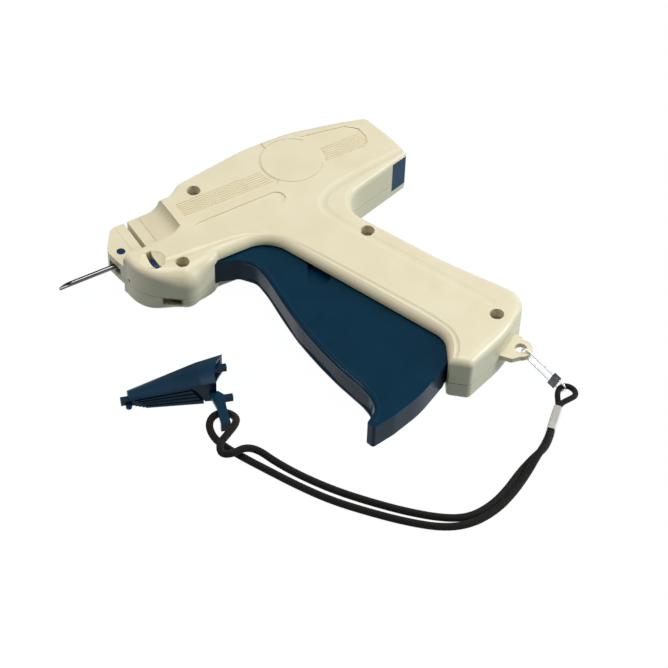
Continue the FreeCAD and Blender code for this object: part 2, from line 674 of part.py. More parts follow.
def nose_pockets():
    """Hollows in the nose: plunger bore, runner track, wheel well, needle base, lock button, cutter."""
    well = WHEEL_WIDTH / 2 + GAP
    reach = WHEEL_RADIUS + GAP
    hollows = [
        bar(Vec(NOSE_FRONT - 5, AXIS_Y, AXIS_Z), Vec(20, AXIS_Y, AXIS_Z), NEEDLE_NECK + RUNNING),
        box((WHEEL_X - well, SLIT_X[1]), (-9.0, AXIS_Y + 6.0), WINDOW_Z),
        box(SLIT_X, (WHEEL_Y, AXIS_Y + 6.0), (WINDOW_Z[0], AXIS_Z + 4.0)),
        box((WHEEL_X - WHEEL_WIDTH / 2 - WHEEL_SLOT, WHEEL_X + WHEEL_WIDTH / 2 + WHEEL_SLOT),
            (WHEEL_Y - WHEEL_RADIUS + 0.2, WHEEL_Y + WHEEL_RADIUS - 0.2), (WHEEL_Z, THICKNESS)),
        bar(Vec(WHEEL_X - well, WHEEL_Y, WHEEL_Z), Vec(WHEEL_X + well, WHEEL_Y, WHEEL_Z), reach),
        bar(Vec(WHEEL_X - WHEEL_AXLE_HALF, WHEEL_Y, WHEEL_Z),
            Vec(WHEEL_X + WHEEL_AXLE_HALF, WHEEL_Y, WHEEL_Z),
            WHEEL_AXLE + SCREW_FIT),
        box((BASE_X[0] - 3.0, BASE_X[1] + RUNNING), (BASE_Y[0] - RUNNING, BASE_Y[1] + RUNNING),
            (PARTING_Z, BASE_Z[1] + RUNNING)),
        box(grown(CUTTER_X), grown(CUTTER_Y), (PARTING_Z, CUTTER_Z[1] + RUNNING)),
        box(grown(CHECK_X), grown(CHECK_Y), (PARTING_Z, CHECK_Z[1] + RUNNING)),
        box((WHEEL_X, -EYE_RADIUS), (0.5, 9.0), (FEED_PAWL_Z[0] - GAP, FEED_PAWL_Z[1] + GAP)),
        disc(LOCK_PIN, LOCK_RADIUS + RUNNING, BASE_Z[1], NOSE_PLATE_HIGH + 1),
        disc(LOCK_PIN, LOCK_RADIUS + LOCK_FLANGE + RUNNING, BASE_Z[1], lock_shoulder_z()),
    ]
    window = plan_face([(WINDOW_X[0], 0.0), (WINDOW_X[0], -14.0), (WINDOW_X[1], -14.0), (WINDOW_X[1], 0.0)],
                       *WINDOW_Z)
    return fused(hollows + [window])


def grown(pair):
    """A pair of limits with the small seating gap outside each."""
    return (pair[0] - RUNNING, pair[1] + RUNNING)


def lock_shoulder_z():
    return NOSE_PLATE_HIGH - 1.6


def dish():
    """Thumb dish over the feed wheel: a shallow spherical hollow."""
    ball = (DISH_RADIUS ** 2 + DISH_DEPTH ** 2) / (2 * DISH_DEPTH)
    return Part.makeSphere(ball, Vec(WHEEL_X - 0.4, WHEEL_Y, THICKNESS + ball - DISH_DEPTH))


def housings():
    """Upper and lower housing."""
    body = housing_body()
    upper_bosses, lower_bosses = bosses()
    inside = cavity()
    for part in upper_bosses + lower_bosses:
        inside = inside.cut(part)
    for rail in rails(SKIN, SLIDER_Z[0] - GAP) + rails(SLIDER_Z[1] + GAP, THICKNESS - SKIN):
        inside = inside.cut(rail)
    body = fused([body, lug()])
    body = body.cut(inside)
    body = body.cut(trigger_opening())
    body = body.cut(rear_opening())
    body = body.cut(nose_pockets())
    body = body.cut(dish())
    for place in SCREWS:
        body = body.cut(disc(place, COUNTERBORE, screw_seat_z(), THICKNESS + 1))
        bore_end = screw_seat_z() - SCREW_LENGTH - 0.5
        body = body.cut(disc(place, SCREW_SHANK + SCREW_FIT, bore_end, screw_seat_z()))
    body = body.cut(disc(LEVER_PIVOT, LEVER_PIVOT_PIN + SCREW_FIT, PIVOT_PIN_LOW - 0.1, PARTING_Z))
    upper = body.common(box((-FAR, FAR), (-FAR, FAR), (PARTING_Z, FAR)))
    lower = body.common(box((-FAR, FAR), (-FAR, FAR), (-1.0, PARTING_Z)))
    return biggest(upper), biggest(lower)


def biggest(shape):
    """The main solid of a cut, without loose crumbs."""
    return max(shape.Solids, key=lambda solid: solid.Volume)


# ================================================================ screws
def screw(place):
    """Cross-head screw with its cross recess."""
    seat = screw_seat_z()
    head = Part.makeCylinder(SCREW_HEAD_RADIUS, SCREW_HEAD_HEIGHT, Vec(*place, seat))
    head = head.makeFillet(0.8, edges_at(head, seat + SCREW_HEAD_HEIGHT))
    shank = disc(place, SCREW_SHANK, seat - SCREW_LENGTH, seat)
    solid = fused([head, shank])
    top = seat + SCREW_HEAD_HEIGHT
    for across in ((3.2, 0.8), (0.8, 3.2)):
        corner = Vec(place[0] - across[0] / 2, place[1] - across[1] / 2, top - 1.3)
        solid = solid.cut(Part.makeBox(across[0], across[1], 1.3, corner))
    return solid


# ================================================================ nose pieces
def needle():
    """Slotted tube with a bevelled tip."""
    tail = Vec(NEEDLE_TAIL_X, AXIS_Y, AXIS_Z)
    tip = Vec(NEEDLE_TIP_X, AXIS_Y, AXIS_Z)
    neck = Vec(NEEDLE_NECK_X, AXIS_Y, AXIS_Z)
    solid = fused([bar(neck, tip, NEEDLE_RADIUS), bar(tail, neck, NEEDLE_NECK)])
    solid = solid.cut(bar(tail + ALONG_X, tip - ALONG_X, NEEDLE_BORE))
    slot = box((NEEDLE_TIP_X - 1, NEEDLE_TAIL_X + 1), (AXIS_Y - NEEDLE_SLOT / 2, AXIS_Y + NEEDLE_SLOT / 2),
               (AXIS_Z, AXIS_Z + 3))
    solid = solid.cut(slot)
    bevel = Part.Face(Part.makePolygon([
        Vec(NEEDLE_TIP_X - 1, 0, AXIS_Z - NEEDLE_RADIUS),
        Vec(NEEDLE_TIP_X + NEEDLE_BEVEL, 0, AXIS_Z + NEEDLE_RADIUS),
        Vec(NEEDLE_TIP_X - 1, 0, AXIS_Z + NEEDLE_RADIUS + 1),
        Vec(NEEDLE_TIP_X - 1, 0, AXIS_Z - NEEDLE_RADIUS),
    ])).extrude(Vec(0, FAR, 0))
    return biggest(solid.cut(bevel))


def needle_base():
    """Plastic base round the needle's tail, with the hole that the lock button drops into."""
    solid = box(BASE_X, BASE_Y, BASE_Z)
    solid = solid.cut(bar(Vec(-FAR, AXIS_Y, AXIS_Z), Vec(0, AXIS_Y, AXIS_Z), NEEDLE_NECK + SCREW_FIT))
    solid = solid.cut(disc(LOCK_PIN, 0.8, BASE_Z[0] + 0.8, BASE_Z[1] + 1))
    return solid


def lock_button():
    """Push button with a retaining flange and a locking pin under it."""
    shoulder = lock_shoulder_z()
    flange_low = BASE_Z[1] + LOCK_TRAVEL + 0.3
    head = disc(LOCK_PIN, LOCK_RADIUS, flange_low, NOSE_PLATE_HIGH + LOCK_PROUD)
    head = head.makeFillet(0.5, edges_at(head, NOSE_PLATE_HIGH + LOCK_PROUD))
    flange = disc(LOCK_PIN, LOCK_RADIUS + LOCK_FLANGE - RUNNING, flange_low, shoulder - 0.05)
    recess = disc(LOCK_PIN, LOCK_COIL + 0.5, flange_low, flange_low + LOCK_RECESS)
    recess = recess.cut(disc(LOCK_PIN, LOCK_COIL - 0.5, flange_low, flange_low + LOCK_RECESS))
    pin = disc(LOCK_PIN, 0.6, BASE_Z[1] - 1.2, flange_low)
    return fused([head, flange, pin]).cut(recess)


def coil(length, radius, wire, turns):
    """Helical spring along +Z from the origin; wire is the radius of its section."""
    helix = Part.makeHelix(length / turns, length, radius)
    section = Part.Wire([Part.makeCircle(wire, Vec(radius, 0, 0), Vec(0, 1, 0))])
    return Part.Wire(helix.Edges).makePipeShell([section], True, True)


def lock_spring():
    """Short coil under the lock button."""
    wire = 0.16
    low = BASE_Z[1] + wire + 0.03
    spring = coil(LOCK_RECESS + 0.2 - 2 * wire, LOCK_COIL, wire, 2)
    spring.translate(Vec(*LOCK_PIN, low))
    return spring


def cutter():
    """Blade that parts the fastener from its strip, with a bevelled edge towards the plunger."""
    solid = box(CUTTER_X, CUTTER_Y, CUTTER_Z)
    bevel = Part.Face(Part.makePolygon([
        Vec(CUTTER_X[0] - 1, CUTTER_Y[1] - 1.2, 0),
        Vec(CUTTER_X[0] - 1, CUTTER_Y[1] + 1, 0),
        Vec(CUTTER_X[1], CUTTER_Y[1] + 1, 0),
        Vec(CUTTER_X[1], CUTTER_Y[1], 0),
        Vec(CUTTER_X[0], CUTTER_Y[1] - 1.2, 0),
        Vec(CUTTER_X[0] - 1, CUTTER_Y[1] - 1.2, 0),
    ])).extrude(UP * THICKNESS)
    return solid.cut(bevel)


def check_pawl():
    """Flat spring with a bent tip beside the feed wheel."""
    return box(CHECK_X, CHECK_Y, CHECK_Z)


def feed_pawl():
    """Finger on the trigger's eye that reaches to the feed wheel."""
    root = polar((0, 0), EYE_RADIUS - 1.6, FEED_PAWL_ANGLE)
    tip = polar((0, 0), FEED_PAWL_REACH - 0.9, FEED_PAWL_ANGLE)
    finger = slab(root, tip, 0.9, FEED_PAWL_Z[0], FEED_PAWL_Z[1])
    foot = disc(root, 0.9, EYE_Z[1], FEED_PAWL_Z[0])
    return fused([finger, foot])


def feed_wheel():
    """Toothed wheel with a hub and an axle bore."""
    start = Vec(WHEEL_X - WHEEL_WIDTH / 2, WHEEL_Y, WHEEL_Z)
    end = start + ALONG_X * WHEEL_WIDTH
    solid = bar(start, end, WHEEL_RADIUS)
    pitch = 360.0 / WHEEL_TEETH
    for tooth in range(WHEEL_TEETH):
        angle = math.radians(pitch * (tooth + 0.5))
        at = start + Vec(0, math.cos(angle), math.sin(angle)) * (WHEEL_RADIUS + 0.3)
        solid = solid.cut(bar(at - ALONG_X, at + ALONG_X * (WHEEL_WIDTH + 2), WHEEL_TOOTH))
    return solid.cut(bar(start - ALONG_X, end + ALONG_X, WHEEL_AXLE + RUNNING))


def feed_axle():
    start = Vec(WHEEL_X - WHEEL_AXLE_HALF, WHEEL_Y, WHEEL_Z)
    return bar(start, start + ALONG_X * (2 * WHEEL_AXLE_HALF), WHEEL_AXLE)


# ================================================================ trigger
def trigger():
    """Hollow trigger: finger wall, two cheeks, an eye on the front boss and a slot for the lever's pivot."""
    low, high = TRIGGER_Z
    solid = prism(TRIGGER_OUTLINE, low, high)
    inner = prism(TRIGGER_OUTLINE, low + TRIGGER_CHEEK, high - TRIGGER_CHEEK, TRIGGER_FACE)
    behind = plan_face([(20.0, 0.0), (30.0, -8.0), (60.0, -50.0), (66.0, -108.0), (100.0, -108.0),
                        (100.0, 20.0), (20.0, 20.0)], low + TRIGGER_CHEEK, high - TRIGGER_CHEEK)
    solid = solid.cut(inner)
    solid = solid.cut(behind)
    solid = solid.cut(disc((0, 0), EYE_RADIUS + 3, EYE_Z[1], high + 1))
    solid = solid.cut(disc((0, 0), SCREW_SHANK + BOSS_WALL + RUNNING, low - 1, high + 1))
    pocket_low = pocket_floor_z() - POCKET_FLOOR
    pocket = pivot_track(PIVOT_SLOT + POCKET_WALL, pocket_low, high - TRIGGER_CHEEK)
    solid = fused([solid, pocket.common(prism(TRIGGER_OUTLINE, pocket_low, high - TRIGGER_CHEEK))])
    solid = solid.cut(pivot_track(PIVOT_SLOT, pocket_floor_z(), high + 1))
    solid = solid.cut(pivot_track(PIN_SLOT, low - 1, pocket_low))
    for bead_z in (low - BEAD_HEIGHT + BEAD_RADIUS, high + BEAD_HEIGHT - BEAD_RADIUS):
        route = [(x, y, bead_z) for x, y in BEAD_ROUTE]
        ends = [Part.makeSphere(BEAD_RADIUS, Vec(*route[0])), Part.makeSphere(BEAD_RADIUS, Vec(*route[-1]))]
        solid = fused([solid, swept(route, BEAD_RADIUS)[0]] + ends)
    inner_end, outer_end = link_slot()
    solid = solid.cut(slab(inner_end, outer_end, LEVER_PIN + LINK_SLACK, low - 1, high + 1))
    return biggest(solid)


def pocket_floor_z():
    """Height of the floor of the boss's track in the upper cheek."""
    return LEVER_Z[1] + GAP + POCKET_FLOOR


def pivot_track(half, low, high):
    """The arc that the lever's pivot sweeps through the trigger, with a given half width."""
    reach = math.hypot(*LEVER_PIVOT)
    rest = math.degrees(math.atan2(LEVER_PIVOT[1], LEVER_PIVOT[0]))
    end = rest - TRIGGER_TRAVEL
    arc = sector((reach - half, reach + half), (end, rest + 25), low, high)
    return arc.fuse(disc(polar((0, 0), reach, end), half, low, high))


def link_rest():
    """Where the lever's lower pin is at rest."""
    lean = math.degrees(math.atan2(LEVER_PIVOT[1], LEVER_PIVOT[0]))
    return polar(LEVER_PIVOT, LEVER_SHORT, lean - LEVER_TURN / 2)


def link_slot():
    """Ends of the trigger's slot for the lower pin, along the radius from the trigger's pivot."""
    rest = link_rest()
    near = math.hypot(*rest)
    far = math.hypot(*LEVER_PIVOT) + LEVER_SHORT
    angle = math.degrees(math.atan2(rest[1], rest[0]))
    return polar((0, 0), near, angle), polar((0, 0), far, angle)


def drive_rest():
    """Where the lever's upper pin is at rest."""
    return polar(LEVER_PIVOT, LEVER_LONG, 90.0 - LEVER_TURN / 2)


# ================================================================ drive lever
def drive_lever():
    """Bell crank between the trigger's slot and the slider's legs."""
    low, high = LEVER_Z
    solid = fused([
        disc(LEVER_PIVOT, LEVER_HUB, low, high),
        slab(LEVER_PIVOT, drive_rest(), LEVER_END, low, high),
        slab(LEVER_PIVOT, link_rest(), LEVER_END, low, high),
    ])
    solid = solid.cut(disc(LEVER_PIVOT, LEVER_PIVOT_PIN + RUNNING, low - 1, high + 1))
    for place in (drive_rest(), link_rest()):
        solid = solid.cut(disc(place, LEVER_PIN + SCREW_FIT, low - 1, high + 1))
    return solid


# ================================================================ slider
def slider_x():
    """Rear and front face of the slider at rest."""
    middle = drive_rest()[0]
    return middle - SLIDER_LENGTH / 2, middle + SLIDER_LENGTH / 2


def slider():
    """Block on the rails, with two slotted legs that straddle the lever."""
    front, rear = slider_x()
    low, high = SLIDER_Z
    pieces = [box((front, rear), SLIDER_Y, SLIDER_Z)]
    keel_y = (AXIS_Y - KEEL_WIDTH / 2, AXIS_Y + KEEL_WIDTH / 2)
    pieces.append(box((front, rear), keel_y, (low - KEEL_HEIGHT, high + KEEL_HEIGHT)))
    pin_x, pin_y = drive_rest()
    rise = LEVER_LONG * (1 - math.cos(math.radians(LEVER_TURN / 2)))
    half = LEVER_PIN + DRIVE_SLACK
    for leg_low in (low, high - SLIDER_LEG):
        leg_z = (leg_low, leg_low + SLIDER_LEG)
        leg = box((pin_x - LEG_HALF, pin_x + LEG_HALF), (pin_y - LEG_HALF, SLIDER_Y[0] + 1), leg_z)
        pieces.append(leg.cut(slab((pin_x, pin_y), (pin_x, pin_y + rise), half, *leg_z)))
    solid = fused(pieces)
    return solid.cut(bar(Vec(front - 1, AXIS_Y, AXIS_Z), Vec(front + 10, AXIS_Y, AXIS_Z),
                         PLUNGER_RADIUS + SCREW_FIT))


def plunger():
    front, rear = slider_x()
    return bar(Vec(PLUNGER_TIP_X, AXIS_Y, AXIS_Z), Vec(front + 9.9, AXIS_Y, AXIS_Z), PLUNGER_RADIUS)


def return_spring():
    """Tension coil from the slider to the rear anchor."""
    start = slider_x()[1] + SPRING_WIRE + 0.1
    length = ANCHOR_X - SPRING_WIRE - 0.1 - start
    spring = coil(length, SPRING_RADIUS, SPRING_WIRE, SPRING_TURNS)
    spring.rotate(Vec(0, 0, 0), Vec(0, 1, 0), 90)
    spring.translate(Vec(start, AXIS_Y, AXIS_Z))
    return spring


def buffer_x():
    """Front and rear face of the rubber stop behind the slider."""
    front = slider_x()[1] + GAP
    return front, front + BUFFER_LENGTH


def stop_buffer():
    """Rubber block that the slider comes back against."""
    low = SKIN + 0.02
    return box((buffer_x()[0], buffer_x()[1] - 0.02), BUFFER_Y, (low, PARTING_Z))


def lever_pivot_pin():
    """Pin that stands in the lower housing and passes through the lever, with a collar that carries it."""
    pin = disc(LEVER_PIVOT, LEVER_PIVOT_PIN, PIVOT_PIN_LOW, LEVER_Z[1] + GAP / 2)
    collar = disc(LEVER_PIVOT, LEVER_COLLAR, TRIGGER_Z[0] + TRIGGER_CHEEK + GAP, LEVER_Z[0] - 0.1)
    return fused([pin, collar])


# ================================================================ rear cap
def rear_cap():
    """End cover of the barrel: the rear wall and the short return along the underside."""
    low = CAP_Z[0] + RUNNING
    high = CAP_Z[1] - RUNNING
    outer = prism(HOUSING_OUTLINE, low, high)
    hollow = prism(HOUSING_OUTLINE, low, high, CAP_WALL)
    shell = outer.cut(hollow)
    return biggest(shell.common(box((CAP_X + RUNNING, FAR), (CAP_Y[0], CAP_Y[1] - RUNNING), (low, high))))


# ================================================================ needle guard
def guard_section(u, half_width, side, arch, floor=0.0, near=0.0):
    """Wire across the guard at a distance u: flat foot, upright sides and an arched top."""
    left = Vec(u, -half_width + near, side)
    right = Vec(u, half_width, side)
    feet = [Part.LineSegment(left, Vec(left.x, left.y, floor)),
            Part.LineSegment(Vec(left.x, left.y, floor), Vec(right.x, right.y, floor)),
            Part.LineSegment(Vec(right.x, right.y, floor), right)]
    top = Part.Arc(right, Vec(u, (left.y + right.y) / 2, arch), left)
    return Part.Wire([line.toShape() for line in feet + [top]])


def guard_shell():
    """Tapered hollow body with an arched top and a hollowed rim."""
    wall = GUARD_WALL
    outer = Part.makeLoft([guard_section(*section) for section in GUARD_SECTIONS], True, True)
    inner = []
    for u, half_width, side, arch in GUARD_SECTIONS:
        inner.append(guard_section(u + wall, half_width - wall, side - wall, arch - wall, wall,
                                   GUARD_NEAR_WALL - wall))
    hollow = Part.makeLoft(inner, True, True)
    hollow = hollow.common(box((GUARD_BLIND, FAR), (-FAR, FAR), (0, FAR)))
    (u, v), radius = GUARD_SADDLE
    return outer.cut(hollow).cut(disc((u, v), radius, -1.0, FAR))


def guard_side(points, inward, outward):
    """Plate on the guard's near side, between two depths measured from the tapering wall."""
    first, second = GUARD_SECTIONS[0], GUARD_SECTIONS[1]
    taper = math.degrees(math.atan2(second[1] - first[1], second[0] - first[0]))
    outline = [Vec(u, 0, z) for u, z in points + points[:1]]
    plate = Part.Face(Part.makePolygon(outline)).extrude(Vec(0, -inward - outward, 0))
    plate.translate(Vec(0, inward, 0))
    plate.rotate(Vec(0, 0, 0), UP, -taper)
    plate.translate(Vec(0, -first[1], 0))
    return plate


def guard_ledges():
    """Stepped grip ribs in the side's sunk panel: each stands further out than the one above."""
    top = GUARD_PANEL[1]
    ledges = []
    for step in range(GUARD_LEDGES):
        share = 1 - step / GUARD_LEDGES
        start = GUARD_LEDGE_START + GUARD_LEDGE_PITCH * step
        rear = GUARD_PANEL[3][0] - 0.4 - 0.2 * (GUARD_LEDGES - step)
        low_top = (GUARD_PANEL[0][1] + 0.2 * start) * share - 0.2
        high_top = (top[1] - 0.6) * share
        end = top[0] + (rear - top[0]) * (1 - share)
        outward = GUARD_LEDGE_STEP * (step + 1) - GUARD_PANEL_DEPTH
        points = [(start, 0.0), (start, low_top), (end, high_top), (rear, 0.0)]
        ledges.append(guard_side(points, GUARD_PANEL_DEPTH + 0.2, outward))
    return ledges


def needle_guard():
    """Guard cap with its nub, two prongs, grip ribs and cord tab."""
    shell = guard_shell().cut(guard_side(GUARD_PANEL, GUARD_PANEL_DEPTH, 3.0))
    pieces = [shell] + guard_ledges()
    for ranges in (NUB, FAR_PRONG, FAR_PRONG_ROOT, NEAR_PRONG):
        pieces.append(box(*ranges))
    pieces.append(disc(NUB_BOSS[0], NUB_BOSS[1], 0.0, NUB_BOSS[2]))
    pieces.append(plan_face(TAB_ROOT, *TAB_Z))
    pieces.append(box(TAB_U, TAB_V, TAB_Z))
    pieces.append(box(TAB_U, (TAB_V[0], TAB_V[0] + TAB_FOOT), (0.0, TAB_Z[0])))
    solid = fused(pieces)
    solid.rotate(Vec(0, 0, 0), UP, GUARD_TURN)
    solid.translate(Vec(*GUARD_AT, 0))
    return solid


# ================================================================ lanyard
def clasp_frame():
    """Start point, heading and across direction of the wire clasp, from the lug down to the table."""
    heading_xy = Vec(0.298, -0.955, 0)
    start = Vec(*LUG, (LUG_Z[0] + LUG_Z[1]) / 2) + heading_xy * ((LUG_HOLE + LUG_OUTER) / 2 - 0.6)
    drop = start.z - CLASP_HALF_WIDTH - CLASP_WIRE - 0.5
    heading = Vec(heading_xy.x, heading_xy.y, -drop / CLASP_LENGTH).normalize()
    across = heading.cross(heading_xy.cross(UP)).normalize()
    return start, heading, across


def clasp():
    """Closed loop of wire through the lug's hole."""
    start, heading, across = clasp_frame()
    end = start + heading * CLASP_LENGTH
    half = across * CLASP_HALF_WIDTH
    back = heading * CLASP_HALF_WIDTH
    path = Part.Wire([
        Part.LineSegment(start + half, end + half).toShape(),
        Part.Arc(end + half, end + back, end - half).toShape(),
        Part.LineSegment(end - half, start - half).toShape(),
        Part.Arc(start - half, start - back, start + half).toShape(),
    ])
    section = Part.Wire([Part.makeCircle(CLASP_WIRE, start + half, heading)])
    return path.makePipeShell([section], True, False)


def clasp_crimp():
    """Crimped sleeve that closes the wire loop near its cord end."""
    start, heading, across = clasp_frame()
    at = start + heading * (CLASP_LENGTH - 6.0)
    normal = heading.cross(across)
    half = CLASP_HALF_WIDTH + CLASP_WIRE + 0.5
    depth = CLASP_WIRE + 0.5
    corners = []
    for a, b in ((-1, -1), (1, -1), (1, 1), (-1, 1), (-1, -1)):
        corners.append(at + across * (a * half) + normal * (b * depth))
    solid = Part.Face(Part.makePolygon(corners)).extrude(heading * 4.0)
    for side in (-1, 1):
        middle = at + across * (side * CLASP_HALF_WIDTH)
        solid = solid.cut(bar(middle - heading, middle + heading * 6, CLASP_WIRE + 0.02))
    return solid


def ferrule():
    """Flattened sleeve that the two strands of each cord end in, one above the other."""
    start = Vec(*FERRULE[0], 0)
    end = Vec(*FERRULE[1], 0)
    heading = end - start
    side = heading.cross(UP).normalize() * (CORD / 2 + FERRULE_WALL)
    top = OVER_Z + CORD / 2 + FERRULE_WALL
    face = Part.Face(Part.makePolygon([start - side, start + side, start + side + UP * top,
                                       start - side + UP * top, start - side]))
    solid = face.extrude(heading)
    return solid.makeFillet(1.6, [edge for edge in solid.Edges if abs(edge.Length - heading.Length) < 1e-6])


def write(name, shape):
    """Write one sub-part's STEP file."""
    solids = shape.Solids
    valid = all(solid.isValid() for solid in solids)
    print(name, "solids", len(solids), "valid", valid, "volume", round(shape.Volume))
    shape.exportStep(os.path.join("parts", name + ".step"))


def main():
    os.makedirs("parts", exist_ok=True)
    upper, lower = housings()
    write("upper_housing", upper)
    write("lower_housing", lower)
    write("housing_screws", Part.makeCompound([screw(place) for place in SCREWS]))
    write("rear_cap", rear_cap())
    write("needle", needle())
    write("needle_base", needle_base())
    write("needle_lock_button", lock_button())
    write("button_spring", lock_spring())
    write("feed_wheel", feed_wheel())
    write("feed_wheel_axle", feed_axle())
    write("trigger", trigger())
    write("drive_lever", drive_lever())
    write("lever_pivot_pin", lever_pivot_pin())
    write("trigger_link_pin", disc(link_rest(), LEVER_PIN, TRIGGER_Z[0] + 0.1, TRIGGER_Z[1] - 0.1))
    write("slider_drive_pin", disc(drive_rest(), LEVER_PIN, SLIDER_Z[0], SLIDER_Z[1]))
    write("slider", slider())
    write("plunger_rod", plunger())
    write("return_spring", return_spring())
    write("stop_buffer", stop_buffer())
    write("cutter_blade", cutter())
    write("check_pawl", check_pawl())
    write("feed_pawl", feed_pawl())
    write("needle_guard", needle_guard())
    write("lanyard_clasp", clasp())
    write("clasp_crimp", clasp_crimp())
    write("cord_ferrule", ferrule())
    write("tether_cord", tube(TETHER_ROUTE, CORD / 2))
    write("tether_loop", tube(LOOP_ROUTE, LOOP_CORD / 2))


main()
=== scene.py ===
# %% [markdown]
# # A garment tag attacher on a white table
# The tool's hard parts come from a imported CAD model, already in place and in metres.
# This lesson gives them their finishes, and models by hand what CAD leaves plain: the braid of the cords,
# and the moulding's lining over the ridge in front of the trigger.

import math

import bmesh
import bpy
from mathutils import Matrix, Vector


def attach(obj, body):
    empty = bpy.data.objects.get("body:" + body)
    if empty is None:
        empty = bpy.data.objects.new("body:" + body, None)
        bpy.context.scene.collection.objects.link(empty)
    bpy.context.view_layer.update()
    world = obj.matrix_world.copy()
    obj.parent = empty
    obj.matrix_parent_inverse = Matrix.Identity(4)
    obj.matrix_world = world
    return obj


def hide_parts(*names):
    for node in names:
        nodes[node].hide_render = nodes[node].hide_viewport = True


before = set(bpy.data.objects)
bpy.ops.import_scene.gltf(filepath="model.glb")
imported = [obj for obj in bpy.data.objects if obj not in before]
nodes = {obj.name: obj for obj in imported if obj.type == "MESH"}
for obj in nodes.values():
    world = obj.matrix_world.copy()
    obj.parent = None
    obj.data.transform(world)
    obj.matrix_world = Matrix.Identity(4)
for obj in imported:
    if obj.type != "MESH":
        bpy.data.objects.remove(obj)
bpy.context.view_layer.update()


# %% [markdown]
# ## Camera
# A long lens looks down at the table from the front left. Its place is written as a matrix:
# the columns are the camera's right, up and back directions, and the last one is where it stands.

# %% Place the camera
def look_from(place, right, up, back, lens):
    """Add the camera at a place with three directions, and make it the scene's camera."""
    data = bpy.data.cameras.new("table_camera")
    data.lens = lens
    data.sensor_width = 36.0
    data.clip_start = 0.05
    data.clip_end = 20.0
    camera = bpy.data.objects.new("table_camera", data)
    bpy.context.scene.collection.objects.link(camera)
    turn = Matrix((right, up, back)).transposed().to_4x4()
    camera.matrix_world = Matrix.Translation(place) @ turn
    bpy.context.scene.camera = camera
    return camera


camera = look_from(
    place=(-0.34845, -0.67382, 0.78153),
    right=(0.85417, -0.51934, 0.02589),
    up=(0.36330, 0.63166, 0.68485),
    back=(-0.37203, -0.57558, 0.72822),
    lens=121.3,
)
print("camera", camera.name, camera.data.lens)

# %% [markdown]
# ## Cords
# The cord is a soft braid that lies doubled on the table, and a second, thinner one makes the short loop
# at the clasp. Each follows one smooth NURBS line through a few control points, because a real cord never
# has corners. The tube round that line is made as a mesh, so that its surface can carry the braid.

# %% Control points of both cords, in millimetres
CORD = 3.6                          # the long cord's diameter
STRAND_Z = CORD / 2                 # middle of a strand that lies on the table
OVER_Z = CORD * 1.5 + 0.5           # middle of a strand that lies over another, with a little slack
LOOP_CORD = 2.8                     # the short loop's diameter
LOOP_Z = LOOP_CORD / 2
LOOP_OVER_Z = LOOP_Z + LOOP_CORD

tether_route = [
    (101.787, -161.999, OVER_Z),
    (97.02, -166.19, OVER_Z),
    (88.6, -170.6, 5.0),
    (80.3, -175.3, 2.6),
    (68.0, -181.4, STRAND_Z),
    (56.2, -185.5, STRAND_Z),
    (43.0, -186.4, STRAND_Z),
    (31.0, -182.0, STRAND_Z),
    (18.6, -171.0, STRAND_Z),
    (6.0, -156.6, STRAND_Z),
    (-4.2, -143.4, STRAND_Z),
    (-12.4, -129.2, STRAND_Z),
    (-19.6, -114.6, STRAND_Z),
    (-25.0, -103.4, STRAND_Z),
    (-29.3, -93.6, STRAND_Z),
    (-31.4, -85.4, STRAND_Z),
    (-29.6, -77.4, STRAND_Z),
    (-24.4, -73.4, STRAND_Z),
    (-18.4, -75.0, STRAND_Z),
    (-16.6, -81.0, 2.8),
    (-20.4, -86.6, OVER_Z),
    (-26.4, -90.0, OVER_Z + 0.2),
    (-32.4, -93.0, OVER_Z),
    (-34.4, -98.0, 4.8),
    (-30.4, -101.2, OVER_Z),
    (-23.6, -100.8, OVER_Z + 0.2),
    (-18.2, -103.6, 4.0),
    (-14.2, -112.0, STRAND_Z),
    (-8.0, -125.6, STRAND_Z),
    (0.6, -140.0, STRAND_Z),
    (10.6, -153.2, STRAND_Z),
    (22.0, -166.4, STRAND_Z),
    (33.6, -177.2, STRAND_Z),
    (43.6, -182.6, STRAND_Z),
    (55.5, -182.1, STRAND_Z),
    (66.7, -178.3, STRAND_Z),
    (78.8, -172.1, STRAND_Z),
    (90.0, -167.9, STRAND_Z),
    (97.02, -166.19, STRAND_Z),
    (101.787, -161.999, STRAND_Z),
]
loop_route = [
    (112.813, -152.301, LOOP_Z),
    (115.1, -150.29, LOOP_Z),
    (117.5, -146.6, 2.0),
    (119.6, -142.6, 3.2),
    (123.0, -140.4, 3.7),
    (126.6, -141.6, 3.3),
    (128.2, -145.0, 2.6),
    (126.2, -148.4, 3.2),
    (121.4, -149.4, LOOP_OVER_Z + 0.2),
    (115.7, -149.76, LOOP_OVER_Z + 0.4),
    (112.813, -152.301, LOOP_OVER_Z + 0.4),
]
print("control points", len(tether_route), len(loop_route))


# %% [markdown]
# A curve object turns the control points into a smooth line, and a mesh made from it without any bevel has
# that line's points. They are then walked along and set down again at even steps, because a braid with
# uneven steps would look stretched in the bends.

# %% Read the smooth line that the control points steer
def smooth_line(name, route):
    """Points of the NURBS line that a route in millimetres steers, in metres."""
    data = bpy.data.curves.new(name, "CURVE")
    data.dimensions = "3D"
    data.resolution_u = 12
    spline = data.splines.new("NURBS")
    spline.points.add(len(route) - 1)
    for point, (x, y, z) in zip(spline.points, route):
        point.co = (x / 1000, y / 1000, z / 1000, 1.0)
    spline.order_u = 3
    spline.use_endpoint_u = True
    guide = bpy.data.objects.new(name, data)
    bpy.context.scene.collection.objects.link(guide)
    bpy.context.view_layer.update()
    mesh = bpy.data.meshes.new_from_object(guide.evaluated_get(bpy.context.evaluated_depsgraph_get()))
    line = [vertex.co.copy() for vertex in mesh.vertices]
    bpy.data.objects.remove(guide)
    bpy.data.meshes.remove(mesh)
    return line


